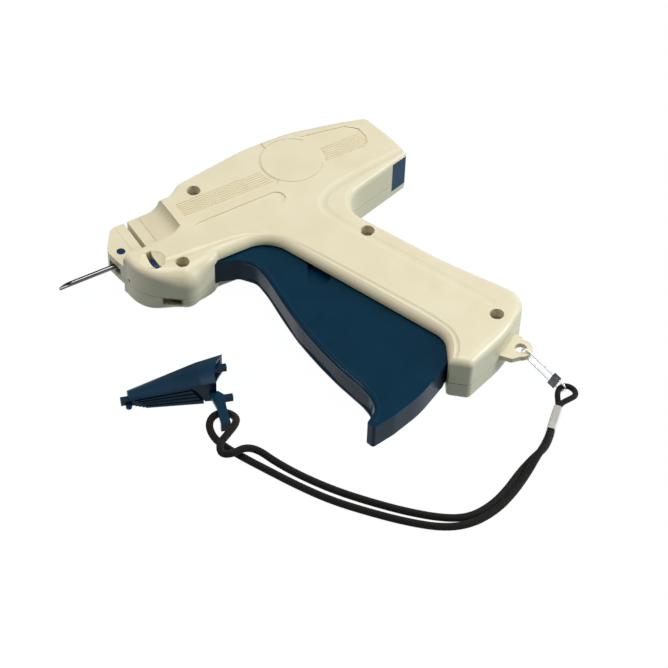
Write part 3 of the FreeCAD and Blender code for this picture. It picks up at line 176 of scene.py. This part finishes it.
def length_of(line):
    """How long a line of points is."""
    return sum((b - a).length for a, b in zip(line, line[1:]))


def even_steps(line, step):
    """The same line with its points a fixed step apart."""
    total = length_of(line)
    count = max(2, round(total / step))
    walked = 0.0
    wanted = 0.0
    stepped = []
    for a, b in zip(line, line[1:]):
        run = (b - a).length
        while wanted <= walked + run and len(stepped) < count:
            stepped.append(a.lerp(b, (wanted - walked) / run))
            wanted += total / count
        walked += run
    stepped.append(line[-1].copy())
    return stepped


tether_line = smooth_line("tether_guide", tether_route)
loop_line = smooth_line("loop_guide", loop_route)
print("cord lengths in mm", round(1000 * length_of(tether_line), 1), round(1000 * length_of(loop_line), 1))


# %% [markdown]
# The braid has two families of yarns that wind opposite ways and pass over and under each other.
# A point on the cord is given by its distance along the line and its angle round it. The two families are
# two slanted stripes over those numbers, and each cell belongs to the yarn that lies on top there.
# Real yarns in the mesh catch the light at the cord's edge, where a bump in the finish would stay flat.

# %% The braid's surface
YARNS = 8               # yarns in each family
BRAID_HEIGHT = 0.11     # how far a yarn bulges, as a share of the cord's radius
YARN_DIP = 0.4          # share of that height that a yarn loses where it goes under the next one


def braid_bulge(along, round_share, lay_length):
    """Height from 0 to 1 of the braid's surface at a place on the cord."""
    first = YARNS * round_share + along / lay_length
    second = YARNS * round_share - along / lay_length
    across, beside = (first, second) if (math.floor(first) + math.floor(second)) % 2 else (second, first)
    along_yarn = 1.0 - YARN_DIP + YARN_DIP * math.sin(math.pi * (beside % 1.0))
    return math.sin(math.pi * (across % 1.0)) * along_yarn


# %% Build a braided tube
TUBE_SIDES = 36


def braided_tube(name, line, radius, step):
    """Mesh tube along a line, with the braid in its surface and a UV map that runs with the cord."""
    rings = even_steps(line, step)
    lay_length = 2 * math.pi * radius / YARNS
    mesh = bpy.data.meshes.new(name)
    shell = bmesh.new()
    across = Vector((0.0, 0.0, 1.0))
    loops = []
    for index, place in enumerate(rings):
        ahead = rings[min(index + 1, len(rings) - 1)] - rings[max(index - 1, 0)]
        ahead.normalize()
        across = (across - ahead * across.dot(ahead)).normalized()
        beside = ahead.cross(across)
        ring = []
        for side in range(TUBE_SIDES):
            share = side / TUBE_SIDES
            swell = 1.0 - BRAID_HEIGHT + BRAID_HEIGHT * braid_bulge(index * step, share, lay_length)
            angle = 2 * math.pi * share
            out = across * math.cos(angle) + beside * math.sin(angle)
            ring.append(shell.verts.new(place + out * (radius * swell)))
        loops.append(ring)
    uv_layer = shell.loops.layers.uv.new("cord")
    for index, (ring, following) in enumerate(zip(loops, loops[1:])):
        for side in range(TUBE_SIDES):
            after = (side + 1) % TUBE_SIDES
            face = shell.faces.new((ring[side], ring[after], following[after], following[side]))
            face.smooth = True
            corners = ((index, side), (index, side + 1), (index + 1, side + 1), (index + 1, side))
            for corner, (row, column) in zip(face.loops, corners):
                corner[uv_layer].uv = (row * step / lay_length, YARNS * column / TUBE_SIDES)
    shell.faces.new(list(reversed(loops[0])))
    shell.faces.new(loops[-1])
    shell.normal_update()
    shell.to_mesh(mesh)
    shell.free()
    piece = bpy.data.objects.new(name, mesh)
    bpy.context.scene.collection.objects.link(piece)
    return piece


# %% Make both cords and say what they are
tether = braided_tube("tether_braid", tether_line, radius=CORD / 2 / 1000, step=0.00032)
loop = braided_tube("loop_braid", loop_line, radius=LOOP_CORD / 2 / 1000, step=0.00026)
for cord, node in ((tether, "tether_cord"), (loop, "tether_loop")):
    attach(cord, "body")
    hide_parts(node)
    print(cord.name, "faces", len(cord.data.polygons))


# %% [markdown]
# ## Lining of the ridge
# Over the ridge in front of the trigger the housing's edge is rounded so widely that the moulding needs
# extra thickness behind it, or the wall would open. By hand this is one small profile with a cut corner:
# it is spun round the ridge's upright axis, like the rim of a cup, and drawn out along the two walls.
# The cut corner continues the rounding, and it shrinks along the walls as the rounding does. A spin was
# chosen because it gives an even curve in one step.

# %% Helpers for shaping by hand
NEAR = 1e-6                         # places closer than this count as one
SOFT_EDGE = math.radians(40.0)      # edges flatter than this are smoothed


def near(a, b):
    """True for two lengths that are the same."""
    return abs(a - b) < NEAR


def start_shape(name):
    """Name the primitive that was just added, and go on in edit mode with its vertices."""
    piece = bpy.context.active_object
    piece.name = name
    bpy.ops.object.transform_apply(location=True, rotation=True, scale=True)
    bpy.ops.object.mode_set(mode="EDIT")
    bpy.ops.mesh.select_mode(type="VERT")
    return piece


def pick(piece, wanted):
    """Select just the vertices that a test accepts."""
    bpy.ops.mesh.select_all(action="DESELECT")
    shape = bmesh.from_edit_mesh(piece.data)
    for vertex in shape.verts:
        vertex.select = wanted(vertex.co)
    shape.select_flush(True)
    bmesh.update_edit_mesh(piece.data)


def end_shape(piece):
    """Close the work in edit mode: merge doubles, turn all faces outwards and smooth the soft edges."""
    bpy.ops.mesh.select_all(action="SELECT")
    bpy.ops.mesh.remove_doubles(threshold=NEAR)
    bpy.ops.mesh.normals_make_consistent(inside=False)
    bpy.ops.object.mode_set(mode="OBJECT")
    bpy.ops.object.shade_smooth_by_angle(angle=SOFT_EDGE)
    return piece


# %% The ridge's measures, in metres
RIDGE_AXIS = Vector((0.00003, -0.00267, 0.0))
RIDGE_REACH = 0.00583               # from the axis to the lining's outer side
RIDGE_THICK = 0.0022
RIDGE_START = math.radians(-127.6)  # the rounding's two ends, seen from the axis
RIDGE_END = math.radians(-66.3)
RIDGE_STEPS = 12


def heading(angle):
    """Level direction at an angle."""
    return Vector((math.cos(angle), math.sin(angle), 0.0))


def from_axis(place, direction):
    """How far a place lies from the ridge's axis in a direction."""
    return (place - RIDGE_AXIS).dot(direction)


print("the ridge turns by degrees", round(math.degrees(RIDGE_END - RIDGE_START), 1))


# %% Spin the profile, and draw its ends out
def spun_profile(name, rim_z, inner_z, corner):
    """Upright face with its outer rim corner cut, spun from one end of the ridge to the other."""
    bpy.ops.object.select_all(action="DESELECT")
    out = heading(RIDGE_START)
    middle = RIDGE_AXIS + out * (RIDGE_REACH - RIDGE_THICK / 2)
    bpy.ops.mesh.primitive_plane_add(size=1.0, location=(middle.x, middle.y, (rim_z + inner_z) / 2),
                                     rotation=(math.pi / 2, 0.0, RIDGE_START))
    bpy.context.active_object.scale = (RIDGE_THICK, abs(rim_z - inner_z), 1.0)
    piece = start_shape(name)
    pick(piece, lambda at: near(from_axis(at, out), RIDGE_REACH) and near(at.z, rim_z))
    bpy.ops.mesh.bevel(offset=corner, affect="VERTICES")
    bpy.ops.mesh.select_all(action="SELECT")
    # With no window a spin turns the other way, so the angle is taken from the end back to the start.
    bpy.ops.mesh.spin(steps=RIDGE_STEPS, angle=RIDGE_START - RIDGE_END,
                      center=RIDGE_AXIS, axis=(0.0, 0.0, 1.0))
    return piece


def draw_out(piece, angle, side, runs, rim_z, upward, corner):
    """Extrude the profile's end at an angle along its wall; each run has a length and a smaller corner."""
    out, along = heading(angle), heading(angle + side * math.pi / 2)
    far = 0.0
    for run, smaller in runs:
        pick(piece, lambda at: near(from_axis(at, along), far) and from_axis(at, out) > 0)
        if run:
            bpy.ops.mesh.extrude_region_move(TRANSFORM_OT_translate={"value": along * run})
        far += run
        for height, reach, shift in ((rim_z, RIDGE_REACH - corner, out),
                                     (rim_z - upward * corner, RIDGE_REACH, Vector((0.0, 0.0, upward)))):
            pick(piece, lambda at: near(from_axis(at, along), far) and near(from_axis(at, out), reach)
                 and near(at.z, height))
            bpy.ops.transform.translate(value=shift * (corner - smaller))
        corner = smaller


def ridge_lining(name, rim_z, inner_z, corner, draws):
    """A lining from its rim's height to its inner height; draws give the runs at its two ends."""
    piece = spun_profile(name, rim_z, inner_z, corner)
    upward = 1.0 if rim_z > inner_z else -1.0
    for angle, side, runs in zip((RIDGE_START, RIDGE_END), (-1.0, 1.0), draws):
        draw_out(piece, angle, side, runs, rim_z, upward, corner)
    return end_shape(piece)


# %% Make both linings
# A run is its length along the wall, and the size of the cut corner that it leaves.
UPPER_DRAWS = (((0.0, 0.00078), (0.00235, 0.000615), (0.0020, 0.000295), (0.0008, 0.00017)),
               ((0.0, 0.00078), (0.0023, 0.00057), (0.0020, 0.00009)))
LOWER_DRAWS = (((0.0018, 0.00008),), ((0.0018, 0.00008),))
linings = [
    ridge_lining("upper_lining", rim_z=0.02303, inner_z=0.0216, corner=0.00085, draws=UPPER_DRAWS),
    ridge_lining("lower_lining", rim_z=0.00237, inner_z=0.0032, corner=0.000155, draws=LOWER_DRAWS),
]
for lining in linings:
    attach(lining, "body")
    spots = [vertex.co for vertex in lining.data.vertices]
    box = [round(1000 * end(spot[axis] for spot in spots), 2) for axis in range(3) for end in (min, max)]
    print(lining.name, "faces", len(lining.data.polygons), "box in mm", box)


# %% [markdown]
# ## Finishes
# Every finish is a small node tree on the Principled shader. Patterns read Object coordinates, which are
# metres here, so a noise of scale 1000 has grains of about a millimetre.

# %% Helpers for node trees
def finish(name):
    """A new material with its tree and its shader."""
    material = bpy.data.materials.new(name)
    material.use_nodes = True
    tree = material.node_tree
    shader = tree.nodes["Principled BSDF"]
    return material, tree, shader


def add(tree, kind, **settings):
    """Add a node; settings name its inputs by label, or its own properties."""
    node = tree.nodes.new(kind)
    for label, value in settings.items():
        socket = node.inputs.get(label.replace("_", " "))
        if socket is not None:
            socket.default_value = value
        else:
            setattr(node, label, value)
    return node


def speckle(tree, scale, detail=3.0):
    """Noise on Object coordinates."""
    where = add(tree, "ShaderNodeTexCoord")
    noise = add(tree, "ShaderNodeTexNoise", Scale=scale, Detail=detail, Roughness=0.55)
    tree.links.new(where.outputs["Object"], noise.inputs["Vector"])
    return noise.outputs["Fac"]


def graded(tree, value, low, high, places=(0.35, 0.65)):
    """Colour ramp between two colours; places are the values where each of them is reached."""
    ramp = add(tree, "ShaderNodeValToRGB")
    ramp.color_ramp.elements[0].position = places[0]
    ramp.color_ramp.elements[0].color = (*low, 1.0)
    ramp.color_ramp.elements[1].position = places[1]
    ramp.color_ramp.elements[1].color = (*high, 1.0)
    tree.links.new(value, ramp.inputs["Fac"])
    return ramp.outputs["Color"]


def ranged(tree, value, low, high, start=0.0):
    """Map start..1 to low..high."""
    mapped = add(tree, "ShaderNodeMapRange", From_Min=start, To_Min=low, To_Max=high)
    tree.links.new(value, mapped.inputs["Value"])
    return mapped.outputs["Result"]


def bumped(tree, shader, value, distance):
    """Drive the shader's normal with a height, in metres where the value is 1."""
    bump = add(tree, "ShaderNodeBump", Strength=1.0, Distance=distance)
    tree.links.new(value, bump.inputs["Height"])
    tree.links.new(bump.outputs["Normal"], shader.inputs["Normal"])


def linear(red, green, blue):
    """Colour written as 0..255 on screen, turned to the linear numbers that shaders use."""
    def one(value):
        share = value / 255
        return share / 12.92 if share <= 0.04045 else ((share + 0.055) / 1.055) ** 2.4
    return (one(red), one(green), one(blue))


# %% [markdown]
# The housing, trigger and caps are moulded plastic. Its colour flows a little, its skin has glossier and
# duller places, and the mould leaves a fine grain. Three noises of different sizes give these three things,
# and one helper makes them all, because the parts differ only in their colour and gloss.

# %% Plastics
FLOW_SCALE = 55.0                   # flow marks of about two centimetres
GLOSS_SCALE = 320.0
GRAIN_SCALE = 1400.0
GRAIN_DEPTH = 0.00001
PLASTIC_IOR = 1.49


def moulded_plastic(name, low, high, roughness, shine=0.3):
    """Moulded plastic: faint flow marks in the colour, uneven gloss, and the fine grain of the mould."""
    material, tree, shader = finish(name)
    tree.links.new(graded(tree, speckle(tree, FLOW_SCALE), low, high), shader.inputs["Base Color"])
    gloss = ranged(tree, speckle(tree, GLOSS_SCALE), roughness - 0.05, roughness + 0.06)
    tree.links.new(gloss, shader.inputs["Roughness"])
    bumped(tree, shader, speckle(tree, GRAIN_SCALE, detail=2.0), GRAIN_DEPTH)
    shader.inputs["IOR"].default_value = PLASTIC_IOR
    shader.inputs["Specular IOR Level"].default_value = shine
    return material


cream = moulded_plastic("cream_moulding", linear(226, 214, 181), linear(230, 219, 188), 0.34, shine=0.45)
navy = moulded_plastic("navy_trigger", linear(2, 41, 60), linear(4, 45, 66), 0.24, shine=0.1)
guard_blue = moulded_plastic("guard_blue", linear(8, 42, 62), linear(12, 47, 69), 0.28, shine=0.14)
rear_blue = moulded_plastic("rear_cap_blue", linear(18, 60, 88), linear(24, 66, 94), 0.42, shine=0.16)
small_blue = moulded_plastic("small_blue", linear(10, 42, 74), linear(14, 50, 84), 0.36, shine=0.16)
inner_white = moulded_plastic("inner_moulding", linear(214, 212, 204), linear(222, 220, 214), 0.45)
print("plastics", cream.name, navy.name, guard_blue.name, rear_blue.name, small_blue.name, inner_white.name)

# %% [markdown]
# The needle is ground steel with lines along it, the screws, springs and pins are plainer steel, and the
# clasp and the ferrule are bright. One noise gives a metal its fine grain, and stretched along an axis it
# becomes the lines of grinding. The stop buffer inside is black rubber, which is the plastic's helper again,
# only duller.

# %% Metals and rubber
METAL_GRAIN_DEPTH = 0.000004


def worked_metal(name, low, high, roughness, stretch=(1.0, 1.0, 1.0), scale=600.0):
    """Metal with a fine grain; a stretch below 1 draws it out into lines along that axis."""
    material, tree, shader = finish(name)
    where = add(tree, "ShaderNodeTexCoord")
    drawn = add(tree, "ShaderNodeMapping", Scale=stretch)
    grain = add(tree, "ShaderNodeTexNoise", Scale=scale, Detail=4.0, Roughness=0.6)
    tree.links.new(where.outputs["Object"], drawn.inputs["Vector"])
    tree.links.new(drawn.outputs["Vector"], grain.inputs["Vector"])
    tree.links.new(graded(tree, grain.outputs["Fac"], low, high), shader.inputs["Base Color"])
    gloss = ranged(tree, grain.outputs["Fac"], roughness - 0.06, roughness + 0.1)
    tree.links.new(gloss, shader.inputs["Roughness"])
    bumped(tree, shader, grain.outputs["Fac"], METAL_GRAIN_DEPTH)
    shader.inputs["Metallic"].default_value = 1.0
    return material


needle_steel = worked_metal("needle_steel", (0.11, 0.11, 0.115), (0.21, 0.21, 0.215), 0.2,
                            stretch=(0.1, 1.0, 1.0))
screw_steel = worked_metal("screw_steel", (0.30, 0.29, 0.26), (0.46, 0.44, 0.40), 0.36)
spring_steel = worked_metal("spring_steel", (0.4, 0.4, 0.4), (0.56, 0.56, 0.56), 0.3)
clasp_chrome = worked_metal("clasp_chrome", (0.72, 0.73, 0.75), (0.85, 0.86, 0.87), 0.14)
crimp_dark = worked_metal("crimp_dark", (0.05, 0.05, 0.055), (0.11, 0.11, 0.115), 0.34)
ferrule_bright = worked_metal("ferrule_bright", (0.84, 0.8, 0.74), (0.93, 0.9, 0.85), 0.12,
                              scale=300.0)
rubber = moulded_plastic("black_rubber", (0.012, 0.012, 0.012), (0.02, 0.02, 0.02), 0.7)
print("metals", needle_steel.name, screw_steel.name, clasp_chrome.name, crimp_dark.name, ferrule_bright.name)


# %% [markdown]
# The cord's yarns are black, and their crests are painted a lighter brown: a painted highlight that stands
# in for the light each crest catches. The UV map counts yarns, so its two diagonals say where on a yarn a
# point
# lies: a sine of each is 1 on the crest and 0 between two yarns. A wave pattern draws the fine fibres on top
# of that. An even black would hide the braid, because so dark a cord has hardly any shading of its own.

# %% Braid
FIBRE_SHARE = 0.5                   # FIBRE_SHARE = 0.5 # how much the fibres add to the painted highlight on a crest
FIBRE_DEPTH = 0.00012


def painted_crest_highlight(tree, where):
    """Where the painted highlight goes: 1 in the middle of each visible yarn, 0 between yarns."""
    parts = add(tree, "ShaderNodeSeparateXYZ")
    tree.links.new(where.outputs["UV"], parts.inputs["Vector"])
    crest = add(tree, "ShaderNodeMath", operation="MULTIPLY")
    for socket, slant in enumerate(("ADD", "SUBTRACT")):
        family = add(tree, "ShaderNodeMath", operation=slant)
        tree.links.new(parts.outputs["Y"], family.inputs[0])
        tree.links.new(parts.outputs["X"], family.inputs[1])
        turns = add(tree, "ShaderNodeMath", operation="MULTIPLY")
        turns.inputs[1].default_value = math.pi
        tree.links.new(family.outputs["Value"], turns.inputs[0])
        wave = add(tree, "ShaderNodeMath", operation="SINE")
        tree.links.new(turns.outputs["Value"], wave.inputs[0])
        height = add(tree, "ShaderNodeMath", operation="ABSOLUTE")
        tree.links.new(wave.outputs["Value"], height.inputs[0])
        tree.links.new(height.outputs["Value"], crest.inputs[socket])
    return crest.outputs["Value"]


def braid():
    """Black yarns with a painted brown highlight on their crests, fine fibres and a soft sheen."""
    material, tree, shader = finish("black_braid")
    where = add(tree, "ShaderNodeUVMap", uv_map="cord")
    fibres = add(tree, "ShaderNodeTexWave", bands_direction="DIAGONAL",
                 Scale=1.6, Distortion=1.2, Detail=2.0)
    tree.links.new(where.outputs["UV"], fibres.inputs["Vector"])
    fuzz = add(tree, "ShaderNodeTexNoise", Scale=3.0, Detail=4.0)
    tree.links.new(where.outputs["UV"], fuzz.inputs["Vector"])
    both = add(tree, "ShaderNodeMath", operation="MULTIPLY")
    tree.links.new(fibres.outputs["Fac"], both.inputs[0])
    tree.links.new(fuzz.outputs["Fac"], both.inputs[1])
    lit = add(tree, "ShaderNodeMath", operation="MULTIPLY_ADD")
    lit.inputs[1].default_value = FIBRE_SHARE
    tree.links.new(both.outputs["Value"], lit.inputs[0])
    # The crests add a painted highlight to the yarns' colour.
    tree.links.new(painted_crest_highlight(tree, where), lit.inputs[2])
    colour = graded(tree, lit.outputs["Value"], linear(4, 4, 4), linear(40, 34, 28), places=(0.4, 1.0))
    tree.links.new(colour, shader.inputs["Base Color"])
    bumped(tree, shader, both.outputs["Value"], FIBRE_DEPTH)
    shader.inputs["Roughness"].default_value = 0.72
    shader.inputs["Sheen Weight"].default_value = 0.08
    shader.inputs["Specular IOR Level"].default_value = 0.15
    shader.inputs["Sheen Roughness"].default_value = 0.5
    return material


black_braid = braid()
print("braid", black_braid.name)

# %% [markdown]
# One list says which finish each part of the tool gets, so a change of colour is made in one place. The
# pins, springs and the pawl that holds the wheel are all drawn steel, and the linings are cream like the
# housing.

# %% Put the finishes on the pieces
finishes = {
    cream: ["upper_housing", "lower_housing"],
    navy: ["trigger"],
    guard_blue: ["needle_guard"],
    rear_blue: ["rear_cap"],
    small_blue: ["needle_base", "needle_lock_button", "feed_wheel"],
    inner_white: ["drive_lever", "slider", "feed_pawl"],
    needle_steel: ["needle", "plunger_rod", "cutter_blade"],
    screw_steel: ["housing_screws"],
    spring_steel: ["button_spring", "return_spring", "check_pawl", "feed_wheel_axle", "lever_pivot_pin",
                   "trigger_link_pin", "slider_drive_pin"],
    clasp_chrome: ["lanyard_clasp"],
    crimp_dark: ["clasp_crimp"],
    ferrule_bright: ["cord_ferrule"],
    rubber: ["stop_buffer"],
}


def dress(piece, material):
    """Give a piece one finish all over."""
    piece.data.materials.clear()
    piece.data.materials.append(material)


for material, names in finishes.items():
    for name in names:
        dress(nodes[name], material)
dress(tether, black_braid)
dress(loop, black_braid)
for lining in linings:
    dress(lining, cream)
print("dressed", sum(map(len, finishes.values())), "nodes, 2 cords and", len(linings), "linings")


# %% [markdown]
# ## Table and light
# The table is white, and it keeps a faint shadow. To the camera and to shiny faces it is mostly a glow of
# plain white, mixed with a little of its own dull surface, on which the shadow falls. That way the
# background is white without more light on the tool.

# %% Table
GLOW_SHARE = 0.93
GLOW_STRENGTH = 1.06
TABLE_Z = -0.0002                   # a hair under the tool


def table_top():
    """Large plane that glows white where it is seen, and catches the shadow."""
    bpy.ops.object.select_all(action="DESELECT")
    bpy.ops.mesh.primitive_plane_add(size=8.0, location=(0.0, 0.0, TABLE_Z))
    plane = bpy.context.active_object
    plane.name = "table_top"
    material, tree, shader = finish("white_table")
    tree.nodes.remove(shader)
    matte = add(tree, "ShaderNodeBsdfDiffuse", Color=(0.2, 0.28, 0.31, 1.0))
    glow = add(tree, "ShaderNodeEmission", Color=(1.0, 1.0, 1.0, 1.0), Strength=GLOW_STRENGTH)
    rays = add(tree, "ShaderNodeLightPath")
    seen = add(tree, "ShaderNodeMath", operation="MAXIMUM")
    share = add(tree, "ShaderNodeMath", operation="MULTIPLY")
    share.inputs[1].default_value = GLOW_SHARE
    blend = add(tree, "ShaderNodeMixShader")
    tree.links.new(rays.outputs["Is Camera Ray"], seen.inputs[0])
    tree.links.new(rays.outputs["Is Glossy Ray"], seen.inputs[1])
    tree.links.new(seen.outputs["Value"], share.inputs[0])
    tree.links.new(share.outputs["Value"], blend.inputs["Fac"])
    tree.links.new(matte.outputs["BSDF"], blend.inputs[1])
    tree.links.new(glow.outputs["Emission"], blend.inputs[2])
    tree.links.new(blend.outputs["Shader"], tree.nodes["Material Output"].inputs["Surface"])
    dress(plane, material)
    return plane


print("table", table_top().name)


# %% [markdown]
# Three lamps light the tool. A wide one stands overhead, so the top is bright and the walls that face the
# camera fall into shade. A small one high on the left draws a bright line along the rounded edges, and a
# cool one low on the right keeps the shaded walls from going brown.

# %% Lamps
LAMP_TARGET = Vector((0.04, -0.06, 0.0))


def soft_lamp(name, place, size, power, colour=(1.0, 1.0, 1.0)):
    """Square area lamp that points at the middle of the tool."""
    data = bpy.data.lights.new(name, "AREA")
    data.shape = "SQUARE"
    data.size = size
    data.energy = power
    data.color = colour
    lamp = bpy.data.objects.new(name, data)
    bpy.context.scene.collection.objects.link(lamp)
    lamp.location = place
    lamp.rotation_mode = "QUATERNION"
    lamp.rotation_quaternion = (LAMP_TARGET - Vector(place)).to_track_quat("-Z", "Y")
    return lamp


lamps = [
    soft_lamp("window_left", (-0.8, 0.43, 0.945), size=0.22, power=3.2),
    soft_lamp("ceiling", (0.3, -0.05, 1.4), size=0.7, power=9.5),
    soft_lamp("lamp_right", (1.0, -0.55, 0.5), size=0.4, power=7.6, colour=(0.84, 0.94, 1.0)),
]
print("lamps", [lamp.name for lamp in lamps])

# %% [markdown]
# The sky fills the shade. It is brightest straight overhead, a little brighter on the right, and cooler
# towards the horizon. The camera sees it plain white. Shiny faces see that white and the uneven sky mixed
# half and half, because polished metal under an even white sky would look flat.

# %% Sky
WHITE = (1.0, 1.0, 1.0)
HORIZON_TINT = (0.72, 0.9, 1.0)
GLOSSY_WHITE = 0.5                  # how much of the plain white shiny faces see


def sky():
    """Uneven sky for the light, and plain white for the camera."""
    world = bpy.data.worlds.new("studio")
    bpy.context.scene.world = world
    world.use_nodes = True
    tree = world.node_tree
    ground = tree.nodes["Background"]
    where = add(tree, "ShaderNodeTexCoord")
    parts = add(tree, "ShaderNodeSeparateXYZ")
    tree.links.new(where.outputs["Generated"], parts.inputs["Vector"])
    height = ranged(tree, parts.outputs["Z"], 0.12, 0.95, start=0.78)
    side = ranged(tree, parts.outputs["X"], 0.7, 1.35, start=-1.0)
    level = add(tree, "ShaderNodeMath", operation="MULTIPLY")
    tree.links.new(height, level.inputs[0])
    tree.links.new(side, level.inputs[1])
    tint = graded(tree, parts.outputs["Z"], HORIZON_TINT, WHITE, places=(0.3, 0.8))
    rays = add(tree, "ShaderNodeLightPath")
    whiteness = add(tree, "ShaderNodeMath", operation="MULTIPLY_ADD")
    whiteness.inputs[1].default_value = GLOSSY_WHITE
    tree.links.new(rays.outputs["Is Glossy Ray"], whiteness.inputs[0])
    tree.links.new(rays.outputs["Is Camera Ray"], whiteness.inputs[2])
    seen = add(tree, "ShaderNodeMix")
    seen.inputs["B"].default_value = 1.0
    tree.links.new(whiteness.outputs["Value"], seen.inputs["Factor"])
    tree.links.new(level.outputs["Value"], seen.inputs["A"])
    tree.links.new(seen.outputs["Result"], ground.inputs["Strength"])
    plain = add(tree, "ShaderNodeMix", data_type="RGBA")
    plain.inputs["B"].default_value = (*WHITE, 1.0)
    tree.links.new(whiteness.outputs["Value"], plain.inputs["Factor"])
    tree.links.new(tint, plain.inputs["A"])
    tree.links.new(plain.outputs["Result"], ground.inputs["Color"])
    return world


bpy.context.scene.view_settings.view_transform = "Standard"
print("sky", sky().name)
